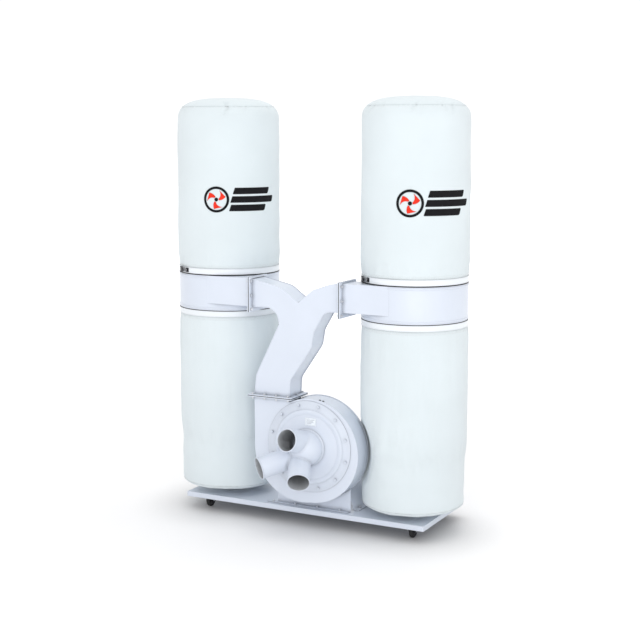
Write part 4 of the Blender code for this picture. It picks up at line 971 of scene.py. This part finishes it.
# ---------------------------------------------------------------- motor and switch
def make_motor():
    """Finned motor with feet, rear shield, mounting flange, bolts and fan cowl."""
    frame_low, frame_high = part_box("motor_frame")
    front, back = frame_low.y, frame_high.y
    axis_y = facing((SHAFT.x, 0, SHAFT.z), (0, 1, 0))
    fins = 40
    outline = []
    for fin in range(fins):
        for share, radius in ((-0.36, 0.0785), (-0.18, 0.0868), (-0.08, 0.0879), (0.08, 0.0879),
                              (0.18, 0.0868), (0.36, 0.0785)):
            turn = 2 * math.pi * (fin + share) / fins
            outline.append((SHAFT.x + radius * math.cos(turn), SHAFT.z + radius * math.sin(turn)))
    body = bmesh.new()
    bore = 0.0762
    slab(body, [outline, circle(bore, (SHAFT.x, SHAFT.z), 64)], back - front - 0.012,
         standing((front + back) / 2))
    for start, end in ((front, front + 0.006), (back - 0.006, back)):
        lathe(body, [(bore, start), (0.0872, start), (0.0882, start + 0.001), (0.0882, end - 0.001),
                     (0.0872, end), (bore, end)], 80, axis_y)
    foot_z = frame_low.z
    for sign in (-1, 1):
        near, far = sorted((SHAFT.x + sign * 0.035, SHAFT.x + sign * 0.095))
        block(body, (near, front + 0.03, foot_z), (far, back - 0.03, foot_z + 0.010))
        near, far = sorted((SHAFT.x + sign * 0.045, SHAFT.x + sign * 0.060))
        block(body, (near, front + 0.035, foot_z + 0.009), (far, back - 0.035, SHAFT.z - 0.060))
    piece("motor_body", body, MOTOR_PAINT, stands_for=("motor_frame",), edge=0.0006)
    bolts = bmesh.new()
    for sign in (-1, 1):
        for y in (front + 0.045, back - 0.045):
            bolt(bolts, facing((SHAFT.x + sign * 0.080, y, foot_z + 0.010), (0, 0, 1)), 0.012)
    shield_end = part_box("motor_rear_shield")[1].y
    shields = bmesh.new()
    lathe(shields, [(0.0165, back + 0.003), (0.030, back + 0.003), (0.034, back + 0.0005),
                    (0.0885, back + 0.0005), (0.0895, back + 0.002), (0.0895, shield_end - 0.004),
                    (0.0865, shield_end), (0.0165, shield_end)], 80, axis_y)
    lug_end = back + 0.010
    for turn in turns_round(4, 0.5):
        tip = round_shaft(0.0855, turn, lug_end)
        rod(shields, round_shaft(0.0855, turn, back + 0.0006), tip, 0.0068, 20)
        bolt(bolts, facing(tip, (0, 1, 0)), 0.007, washer=False)
    piece("rear_shield_casting", shields, MOTOR_PAINT,
          stands_for=("motor_rear_shield",), edge=0.0005)
    flange = bmesh.new()
    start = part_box("motor_front_shield")[0].y
    lathe(flange, [(0.016, start), (0.0972, start), (0.098, start + 0.001), (0.098, start + 0.009),
                   (0.0965, start + 0.0105), (0.0905, start + 0.0115), (0.0885, start + 0.0137),
                   (0.032, start + 0.0137), (0.032, start + 0.0195), (0.016, start + 0.0195)], 80, axis_y)
    piece("mounting_flange", flange, MOTOR_PAINT,
          stands_for=("motor_front_shield",), edge=0.0004)
    for turn in turns_round(8, 0.5):
        bolt(bolts, facing(round_shaft(0.0945, turn, start + 0.0112), (0, 1, 0)), 0.006, washer=False)
    piece("motor_bolts", bolts, STEEL, edge=0.0003)
    make_fan_cowl(axis_y)


def make_fan_cowl(axis_y):
    """Pressed cowl with rings of curved air slots."""
    low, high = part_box("fan_cowl")
    start, end = low.y, high.y
    shell = bmesh.new()
    lathe(shell, [(0, end), (0.066, end), (0.074, end - 0.0015), (0.080, end - 0.006),
                  (0.0832, end - 0.013), (0.084, end - 0.020), (0.084, start + 0.001), (0.0832, start),
                  (0.082, start), (0.082, end - 0.020), (0.0812, end - 0.0135), (0.0784, end - 0.0075),
                  (0.0732, end - 0.0036), (0.0655, end - 0.002), (0, end - 0.002)],
          80, axis_y, closed=False)
    slots = bmesh.new()
    rows = ((4, 0.016, 0.0225), (6, 0.029, 0.0355), (8, 0.042, 0.0485), (10, 0.055, 0.0615))
    for row, (count, inner, outer) in enumerate(rows):
        span = 2 * math.pi / count - 0.010 / inner * 0.9
        for middle in turns_round(count, 0.5 * row):
            turns = [middle + span * (step / 10 - 0.5) for step in range(11)]
            arc = [(outer * math.cos(turn), outer * math.sin(turn)) for turn in turns]
            arc += [(inner * math.cos(turn), inner * math.sin(turn)) for turn in reversed(turns)]
            slab(slots, [[(SHAFT.x + x, SHAFT.z + z) for x, z in arc]], 0.012, standing(end))
    mesh = carved("fan_cowl", shell, [("DIFFERENCE", slots)])
    finished("cowl_shell", mesh, MOTOR_PAINT, stands_for=("fan_cowl",), edge=0.0003)


def make_switch():
    """Switch box with lid, bezels, two buttons, pad and cable gland."""
    low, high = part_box("switch_box")
    case = bmesh.new()
    split = high.y - 0.020
    slab(case, [rounded_box(low, high, 0.005, 5)], split - low.y, standing((split + low.y) / 2))
    margin = Vector((0.001, 0, 0.001))
    inner = rounded_box(low + margin, high - margin, 0.005, 5)
    piece("switch_case", case, PLASTIC, stands_for=("switch_box",), edge=0.0012)
    lid = bmesh.new()
    buttons = (("start_button", "start_push", GREEN, "green_plastic"),
               ("stop_button", "stop_push", RED, "red_plastic"))
    well_r = 0.0117
    wells = []
    for node, *_ in buttons:
        centre = sum(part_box(node), Vector()) / 2
        wells.append((centre.x, centre.z))
    slab(lid, [inner] + [circle(well_r, well, 40) for well in wells], high.y - split - 0.0014,
         standing((split + 0.0012 + high.y) / 2))
    piece("switch_lid", lid, PLASTIC, edge=0.0014)
    pad = bmesh.new()
    slab(pad, [rectangle((low.x + 0.006, SHAFT.z + 0.060), (high.x - 0.006, low.z - 0.0002))],
         high.y - low.y - 0.012, standing((low.y + high.y) / 2))
    piece("switch_pad", pad, MOTOR_PAINT, edge=0.0008)
    details = bmesh.new()
    for x in (low.x + 0.008, high.x - 0.008):
        for z in (low.z + 0.008, high.z - 0.008):
            head = facing((x, high.y - 0.0003, z), (0, 1, 0))
            lathe(details, [(0, 0), (0.0034, 0), (0.0034, 0.0008), (0.0026, 0.0016), (0, 0.0018)],
                  18, head, False)
    piece("switch_screws", details, STEEL)
    bezels = bmesh.new()
    for x, z in wells:
        ring = facing((x, high.y, z), (0, 1, 0))
        lathe(bezels, [(well_r, -0.004), (0.0150, -0.0003), (0.0150, 0.0012), (0.0142, 0.0024),
                       (0.0125, 0.0026), (well_r, 0.0018)], 40, ring)
    piece("button_bezels", bezels, STEEL, smooth=50)
    for node, body, material, slot in buttons:
        cap_low, cap_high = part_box(node)
        centre = (cap_low + cap_high) / 2
        cap = bmesh.new()
        place = facing((centre.x, cap_low.y, centre.z), (0, 1, 0))
        depth = cap_high.y - cap_low.y
        lathe(cap, [(0, 0), (0.0108, 0), (0.0108, depth - 0.0012), (0.0102, depth - 0.0004),
                    (0.0090, depth), (0.0080, depth - 0.0003), (0.0055, depth - 0.0010),
                    (0, depth - 0.0013)], 40, place, False)
        piece(node + "_cap", cap, material, body, slot, (node,), smooth=50)
    gland_low, gland_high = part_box("cable_gland")
    gland = bmesh.new()
    middle = (gland_low + gland_high) / 2
    place = facing((gland_low.x, middle.y, middle.z), (1, 0, 0))
    lathe(gland, [(0.005, 0), (0.0115, 0), (0.0122, 0.0008), (0.0122, 0.0052), (0.0115, 0.006),
                  (0.005, 0.006)], 6, place)
    lathe(gland, [(0.005, 0.0062), (0.0092, 0.0062), (0.0092, 0.0075), (0.0105, 0.0085), (0.0105, 0.014),
                  (0.0082, 0.0195), (0.0070, 0.020), (0.005, 0.020)], 36, place)
    for turn in turns_round(18):
        rib = place @ Matrix.Rotation(turn, 4, "Z")
        block(gland, (0.0102, -0.0004, 0.0088), (0.0110, 0.0004, 0.0136), rib)
    piece("gland_body", gland, PLASTIC, stands_for=("cable_gland",))


# ---------------------------------------------------------------- bags
SEGMENTS = 128
HEM_ROWS = 4
HEM_R = 0.2438                        # the cloth's radius under the strap
DENT_R = SCROLL_R + 0.0035            # the scroll's rim with room for the cloth
DENT_SLOPE = 0.58                     # how far the dent opens for each unit forwards
DENT_TURN = 240.0 - 360.0             # where the casing's rim leaves the bag, seen round the bag's axis


def bag_outline(upper, rows):
    """(radius, height) from the hem to the closed end."""
    points = []
    if upper:
        hem, end, step_in = WALL_HIGH + GAP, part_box("left_upper_bag")[1].z, 1
        shoulder, power, body_r = end - 0.105, 2.9, BAG_R - 0.0030
        mouth_end = RING_HIGH + 0.004
    else:
        hem, end, step_in = WALL_LOW - GAP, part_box("left_lower_bag")[0].z, -1
        shoulder, power, body_r = end + 0.066, 7, BAG_R - 0.0015
        mouth_end = RING_LOW - 0.004
    for step in range(HEM_ROWS):
        points.append((HEM_R, hem + (mouth_end - hem) * step / (HEM_ROWS - 1)))
    swell = 0.032                    # length over which the cloth leaves the ring's radius
    length = abs(shoulder - mouth_end)
    for step in range(1, rows + 1):
        along = length * step / rows
        blend = min(1.0, along / swell)
        blend = blend * blend * (3 - 2 * blend)
        taper = 0.0025 * (along / length) ** 3 if upper else 0.0
        points.append((HEM_R + (body_r + 0.0020 - taper - HEM_R) * blend, mouth_end + step_in * along))
    last = points[-1][0]
    height = abs(end - shoulder)
    cap_rows = 16
    for step in range(1, cap_rows + 1):
        turn = math.pi / 2 * step / cap_rows
        across = last * math.cos(turn) ** (2 / power)
        if across < last * 0.08:
            break
        points.append((across, shoulder + step_in * height * math.sin(turn) ** (2 / power)))
    inner = points[-1][0]
    for step in range(1, 10):
        share = 1 - step / 10
        points.append((inner * share, end))
    return points


def fold(upper, side, turn, height, hem):
    """How far the cloth stands out from its smooth shape, in metres."""
    seed = {"left": 3.0, "right": 11.0}[side] + (0 if upper else 5.0)
    around = radial(turn)
    from_hem = abs(height - hem)
    gather = math.exp(-from_hem / 0.055) * (1 - math.exp(-from_hem / 0.010))
    pleats = noise.noise(Vector((around.x * 7, around.y * 7, seed + height * 4)))
    broad = noise.noise(around * 1.5 + Vector((0, 0, height * 3.2 + seed)))
    sag = noise.noise(around * 1.1 + Vector((seed, 0, height * (11 if upper else 15))))
    out = 0.0085 * gather * pleats + 0.0040 * broad + (0.0022 if upper else 0.0032) * sag
    if side == "right" and not upper:
        out += pulled_folds(turn, height)
    return out


def pulled_folds(turn, height):
    """Creases that run outwards from where the casing presses into the right collection bag."""
    across = math.remainder(turn - math.radians(DENT_TURN), 2 * math.pi) * BAG_R
    up = height - SCROLL_CENTRE.z - 0.03
    distance = math.hypot(across, up)
    spread = math.atan2(up, across)
    strength = math.exp(-((distance - 0.05) / 0.07) ** 2)
    return 0.0042 * strength * math.sin(5 * spread + 0.6) * max(0.0, math.cos(spread))


def out_of_casing(point):
    """Press a point of the right collection bag off the scroll's rim, along a cone that opens forwards."""
    behind = CASE_BACK + 0.004
    soft = 0.012
    if point.y > behind + soft:
        return point
    flat = Vector((point.x - SCROLL_CENTRE.x, 0, point.z - SCROLL_CENTRE.z))
    reach = DENT_R + max(0.0, behind - point.y) * DENT_SLOPE
    deep = reach - flat.length
    if deep < -soft:
        return point
    push = deep if deep > soft else (deep + soft) ** 2 / (4 * soft)
    fade = 1.0 if point.y < behind else 1 - (point.y - behind) / soft
    flat = flat.normalized() * (flat.length + push * fade)
    return Vector((SCROLL_CENTRE.x + flat.x, point.y, SCROLL_CENTRE.z + flat.z))


def bag_blank(side, upper):
    """The cut and sewn bag before it is blown up, with its hem pinned."""
    hem = WALL_HIGH if upper else WALL_LOW
    rows = 58 if upper else 62
    profile = bag_outline(upper, rows)
    shape = bmesh.new()
    rings = []
    for radius, height in profile:
        ring = []
        for turn in turns_round(SEGMENTS):
            out = fold(upper, side, turn, height, hem) if radius > 0.12 else 0.0
            if radius == HEM_R:
                out = 0.0
            wide = radius + out
            point = AXIS[side] + Vector((wide * math.cos(turn), wide * math.sin(turn), height))
            if side == "right" and not upper:
                point = out_of_casing(point)
            ring.append(shape.verts.new(point))
        rings.append(ring)
    for first, second in zip(rings, rings[1:]):
        for step in range(SEGMENTS):
            after = (step + 1) % SEGMENTS
            shape.faces.new([first[step], first[after], second[after], second[step]])
    middle = shape.verts.new(AXIS[side] + Vector((0, 0, profile[-1][1])))
    for step in range(SEGMENTS):
        shape.faces.new([rings[-1][step], rings[-1][(step + 1) % SEGMENTS], middle])
    bmesh.ops.recalc_face_normals(shape, faces=shape.faces)
    name = f"{side}_{'filter' if upper else 'collection'}_bag"
    mesh = bpy.data.meshes.new(name)
    shape.to_mesh(mesh)
    shape.free()
    item = bpy.data.objects.new(name, mesh)
    bpy.context.scene.collection.objects.link(item)
    pins = item.vertex_groups.new(name="hem")
    held = (HEM_ROWS + 1) * SEGMENTS
    pins.add(list(range(held)), 1.0, "REPLACE")
    pins.add(list(range(held, held + 2 * SEGMENTS)), 0.5, "REPLACE")
    return item


def inflate(items):
    """Cloth simulation of all four bags together, with air pressure inside."""
    settled_frame = 20
    furthest = 0.007                 # the most that the pressure may move a point of the cloth
    for item in items:
        cloth = item.modifiers.new("cloth", "CLOTH")
        settings = cloth.settings
        settings.quality = 5
        settings.mass = 0.35
        settings.tension_stiffness = 40
        settings.compression_stiffness = 12
        settings.shear_stiffness = 12
        settings.bending_stiffness = 0.35
        settings.air_damping = 2.0
        settings.use_pressure = True
        settings.uniform_pressure_force = 2.2 if "filter" in item.name else 1.2
        settings.shrink_min = -0.012
        settings.vertex_group_mass = "hem"
        settings.pin_stiffness = 5
        cloth.collision_settings.use_collision = False
        settings.effector_weights.gravity = 0.0 if "filter" in item.name else 0.25
        cloth.point_cache.frame_start = 1
        cloth.point_cache.frame_end = settled_frame + 2
    scene = bpy.context.scene
    for step in range(1, settled_frame + 1):
        scene.frame_set(step)
    graph = bpy.context.evaluated_depsgraph_get()
    for item in items:
        start = [vert.co.copy() for vert in item.data.vertices]
        settled = bpy.data.meshes.new_from_object(item.evaluated_get(graph), depsgraph=graph)
        item.modifiers.clear()
        for vert, before, after in zip(item.data.vertices, start, settled.vertices):
            move = after.co - before
            if move.length > furthest:
                move = move.normalized() * furthest
            vert.co = before + move
        bpy.data.meshes.remove(settled)
    scene.frame_set(1)


def finish_bag(item, side, upper):
    """Keep the cloth clear of the blower and of the ring, and give it its thickness."""
    mesh = item.data
    if side == "right" and not upper:
        for vert in mesh.vertices:
            vert.co = out_of_casing(vert.co)
    mesh.shade_smooth()
    mesh.materials.append(CLOTH)
    item.vertex_groups.clear()
    for vert in mesh.vertices[:HEM_ROWS * SEGMENTS]:
        flat = Vector((vert.co.x, vert.co.y, 0)) - AXIS[side]
        flat = flat.normalized() * HEM_R
        vert.co = Vector((AXIS[side].x + flat.x, AXIS[side].y + flat.y, vert.co.z))
    tree = BVHTree.FromObject(item, bpy.context.evaluated_depsgraph_get())
    thick = item.modifiers.new("thickness", "SOLIDIFY")
    thick.thickness = 0.0016
    thick.offset = -1
    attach(item, "chassis")
    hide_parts(f"{side}_{'upper' if upper else 'lower'}_bag")
    return tree


def on_bag(tree, side, turn, height):
    """Point and outward normal where a level ray towards the bag's axis meets the cloth."""
    out = radial(turn)
    start = AXIS[side] + out * 0.4 + Vector((0, 0, height))
    hit, normal, _, _ = tree.ray_cast(start, -out)
    if hit is None:
        return AXIS[side] + out * BAG_R + Vector((0, 0, height)), out
    return hit, normal if normal.dot(out) > 0 else -normal


def ribbon(shape, stations, width, thickness, closed):
    """A raised strip through (point, normal, sideways) stations, crowned in its middle."""
    rings = []
    for point, normal, across in stations:
        half = across * (width / 2)
        foot = normal * GAP
        shoulder = normal * thickness * 0.6
        section = (point - half - foot, point - half + shoulder, point + normal * thickness,
                   point + half + shoulder, point + half - foot)
        rings.append([shape.verts.new(corner) for corner in section])
    following = rings[1:] + (rings[:1] if closed else [])
    for first, second in zip(rings, following):
        for step in range(5):
            after = (step + 1) % 5
            shape.faces.new([first[step], first[after], second[after], second[step]])
    if not closed:
        shape.faces.new(rings[0])
        shape.faces.new(list(reversed(rings[-1])))


def stitch(shape, point, normal, along, length=0.0045, width=0.0009):
    """Add one visible run of thread on the cloth."""
    across = normal.cross(along).normalized()
    place = axes_at(point, along.normalized(), across, normal)
    profile = [(0, -length / 2), (width / 2, -length * 0.36), (width / 2, length * 0.36), (0, length / 2)]
    lathe(shape, profile, 5, place @ Matrix.Rotation(math.pi / 2, 4, "Y"), closed=False)


def make_seams(side, upper, tree):
    """The end panel's welt, the felled side seam and the hem's double stitching."""
    name = f"{side}_{'filter' if upper else 'collection'}"
    seams = bmesh.new()
    threads = bmesh.new()
    box_low, box_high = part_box(f"{side}_{'upper' if upper else 'lower'}_bag")
    end = box_high.z - 0.034 if upper else box_low.z + 0.020
    hem_stitch = RING_HIGH + 0.009 if upper else RING_LOW - 0.009
    up = Vector((0, 0, 1))
    welt = []
    for turn in turns_round(ROUND):
        point, normal = on_bag(tree, side, turn, end)
        level = Vector((-math.sin(turn), math.cos(turn), 0))
        welt.append((point, normal, normal.cross(level).normalized()))
    ribbon(seams, welt, 0.006, 0.0014, True)
    side_turn = math.radians(70)
    low, high = sorted((hem_stitch, end))
    felled = []
    count = 90
    for step in range(count + 1):
        height = low + (high - low) * step / count
        point, normal = on_bag(tree, side, side_turn, height)
        felled.append((point, normal, Vector((-math.sin(side_turn), math.cos(side_turn), 0))))
    ribbon(seams, felled, 0.014, 0.0013, False)
    inwards = 1 if upper else -1
    for height in (hem_stitch, hem_stitch + inwards * 0.006, end - inwards * 0.007):
        for turn in turns_round(190):
            point, normal = on_bag(tree, side, turn, height)
            stitch(threads, point + normal * 0.0002, normal, Vector((-math.sin(turn), math.cos(turn), 0)))
    side_stitches = 110
    for offset in (-0.0045, 0.0045):
        for step in range(side_stitches):
            height = low + (high - low) * (step + 0.5) / side_stitches
            point, normal = on_bag(tree, side, side_turn + offset / BAG_R, height)
            stitch(threads, point + normal * 0.0013, normal, up)
    piece(f"{name}_bag_seams", seams, CLOTH, smooth=60)
    piece(f"{name}_bag_stitches", threads, THREAD)


def print_on_bag(name, shapes, side, tree, turn, height, material):
    """A flat outline cut into narrow strips and laid on the bag as a thin film of ink."""
    flat = bmesh.new()
    for shape_loops in shapes:
        slab(flat, shape_loops, 0.0002)
    doomed = [face for face in flat.faces if face.calc_center_median().z < 0.00005]
    bmesh.ops.delete(flat, geom=doomed, context="FACES")
    reach = max(abs(vert.co.x) for vert in flat.verts)
    for axis, pitch, limit in (((1, 0, 0), 0.006, reach), ((0, 1, 0), 0.010, 0.08)):
        cut = -limit
        while cut < limit:
            geometry = flat.verts[:] + flat.edges[:] + flat.faces[:]
            bmesh.ops.bisect_plane(flat, geom=geometry, plane_co=Vector(axis) * cut, plane_no=axis)
            cut += pitch
    for vert in flat.verts:
        point, normal = on_bag(tree, side, turn + vert.co.x / BAG_R, height + vert.co.y)
        vert.co = point + normal * 0.0007
    item = piece(name, flat, material)
    film = item.modifiers.new("film", "SOLIDIFY")
    film.thickness = 0.0005
    film.offset = -1
    return item


def fan_mark():
    """Generic air-mover sign: a three-bladed fan in a ring, and three streams of air."""
    hub = (-0.118, 0.0)
    ring = [circle(0.061, hub, 64), circle(0.050, hub, 64)]
    blades = []
    for index in range(3):
        base = 2 * math.pi * index / 3 + math.pi / 2
        lead = [(0.012 + 0.034 * step / 8, base + 0.25 + 0.55 * step / 8) for step in range(9)]
        trail = [(0.046 - 0.034 * step / 8,
                  base + 0.25 + 0.55 * (1 - step / 8) + 0.95 * (1 - 0.35 * step / 8)) for step in range(9)]
        blades.append([[(hub[0] + radius * math.cos(turn), hub[1] + radius * math.sin(turn))
                        for radius, turn in lead + trail]])
    streams = [ring, [circle(0.009, hub, 24)]]
    for row, (start, end) in enumerate(((-0.040, 0.150), (-0.052, 0.180), (-0.058, 0.125))):
        middle = 0.040 - 0.040 * row
        low, high = middle - 0.015, middle + 0.015
        lean = 0.010
        streams.append([rounded([(start, low, 0.002), (end, low, 0.012), (end + lean, high, 0.004),
                                 (start + lean, high, 0.002)], 5)])
    return streams, blades


def make_bags():
    """The four bags with their seams, stitches and printed marks."""
    bags = {(side, upper): bag_blank(side, upper) for side, _ in SIDES for upper in (True, False)}
    inflate(list(bags.values()))
    streams, blades = fan_mark()
    for (side, upper), item in bags.items():
        tree = finish_bag(item, side, upper)
        make_seams(side, upper, tree)
        if upper:
            turn = math.radians(-45)
            height = 1.540 if side == "left" else 1.548
            print_on_bag(f"{side}_sign_streams", streams, side, tree, turn, height, INK_BLACK)
            print_on_bag(f"{side}_sign_blades", blades, side, tree, turn, height, INK_RED)


# ---------------------------------------------------------------- camera, light and floor
AZIMUTH = math.radians(27.65)        # the main view, turned from the front towards +X


def make_camera():
    """The main view's camera."""
    data = bpy.data.cameras.new("camera")
    data.lens = 73.6
    data.sensor_width = 36.0
    data.shift_x = 0.00198
    camera = bpy.data.objects.new("camera", data)
    bpy.context.scene.collection.objects.link(camera)
    elevation = math.radians(8.376)
    look = Vector((-math.sin(AZIMUTH) * math.cos(elevation), math.cos(AZIMUTH) * math.cos(elevation),
                   -math.sin(elevation)))
    camera.location = (2.8763, -5.4089, 1.8767)
    camera.rotation_euler = look.to_track_quat("-Z", "Y").to_euler()
    bpy.context.scene.camera = camera


def area_light(name, place, target, size, power):
    """A soft rectangular light aimed at a point."""
    data = bpy.data.lights.new(name, "AREA")
    data.energy = power
    data.shape = "RECTANGLE"
    data.size, data.size_y = size
    lamp = bpy.data.objects.new(name, data)
    bpy.context.scene.collection.objects.link(lamp)
    lamp.location = place
    lamp.rotation_euler = (Vector(target) - Vector(place)).to_track_quat("-Z", "Y").to_euler()


def make_world():
    """White surround, dimmer towards both sides so that rounded forms turn away into soft grey."""
    world = bpy.data.worlds.new("studio")
    bpy.context.scene.world = world
    world.use_nodes = True
    nodes = world.node_tree.nodes
    link = world.node_tree.links.new
    sky = nodes["Background"]
    sky.inputs["Color"].default_value = (1.0, 1.0, 1.0, 1)
    direction = nodes.new("ShaderNodeTexCoord")
    sideways = nodes.new("ShaderNodeVectorMath")
    sideways.operation = "DOT_PRODUCT"
    sideways.inputs[1].default_value = (math.cos(AZIMUTH), math.sin(AZIMUTH), 0)
    link(direction.outputs["Generated"], sideways.inputs[0])
    size = nodes.new("ShaderNodeMath")
    size.operation = "ABSOLUTE"
    link(sideways.outputs["Value"], size.inputs[0])
    strength = nodes.new("ShaderNodeMapRange")
    strength.interpolation_type = "SMOOTHSTEP"
    strength.inputs["From Min"].default_value = 0.40
    strength.inputs["From Max"].default_value = 0.90
    strength.inputs["To Min"].default_value = 1.06
    strength.inputs["To Max"].default_value = 0.78
    link(size.outputs["Value"], strength.inputs["Value"])
    link(strength.outputs["Result"], sky.inputs["Strength"])


def brighten_far_floor():
    """Lifts the floor far from the object to the brightness of the surround, so that no horizon shows."""
    nodes = FLOOR.node_tree.nodes
    link = FLOOR.node_tree.links.new
    place = nodes.new("ShaderNodeTexCoord")
    distance = nodes.new("ShaderNodeVectorMath")
    distance.operation = "LENGTH"
    link(place.outputs["Object"], distance.inputs[0])
    glow = nodes.new("ShaderNodeMapRange")
    glow.interpolation_type = "SMOOTHSTEP"
    glow.inputs["From Min"].default_value = 1.6
    glow.inputs["From Max"].default_value = 6.0
    glow.inputs["To Min"].default_value = 0.0
    glow.inputs["To Max"].default_value = 0.30
    link(distance.outputs["Value"], glow.inputs["Value"])
    shader = nodes["Principled BSDF"]
    shader.inputs["Emission Color"].default_value = (1.0, 1.0, 1.0, 1)
    link(glow.outputs["Result"], shader.inputs["Emission Strength"])


def make_studio():
    """Floor, surround and two soft lights."""
    brighten_far_floor()
    ground = bmesh.new()
    bmesh.ops.create_grid(ground, x_segments=8, y_segments=8, size=30)
    mesh = bpy.data.meshes.new("floor")
    ground.to_mesh(mesh)
    ground.free()
    mesh.materials.append(FLOOR)
    floor = bpy.data.objects.new("floor", mesh)
    bpy.context.scene.collection.objects.link(floor)
    make_world()
    area_light("key", (2.4, -4.2, 2.0), (0, 0, 0.85), (2.6, 2.6), 44)
    area_light("top", (0.1, 1.0, 4.6), (0, 0.1, 0.6), (3.0, 2.0), 18)
    bpy.context.scene.view_settings.view_transform = "Standard"


# ---------------------------------------------------------------- assembly
make_camera()
make_studio()
for part in frame["record"]["subparts"]:
    node = frame["nodes"][part["node"]]
    node.data.materials.clear()
    node.data.materials.append(SLOT_LOOKS[part["material_slot"]])
for column_side, column_sign in SIDES:
    make_ring(column_side, column_sign)
    for level in ("upper", "lower"):
        make_band(f"{column_side}_{level}", column_side, f"{column_side}_{level}_latch")
make_y_duct()
make_casing()
make_inlet_plate()
make_manifold()
make_flange_bolts()
make_label()
make_supports()
for row in ("front", "rear"):
    for column_side, _ in SIDES:
        caster = f"caster_{row}_{column_side}"
        make_caster(caster, caster + "_swivel", caster + "_roller")
make_motor()
make_switch()
make_bags()
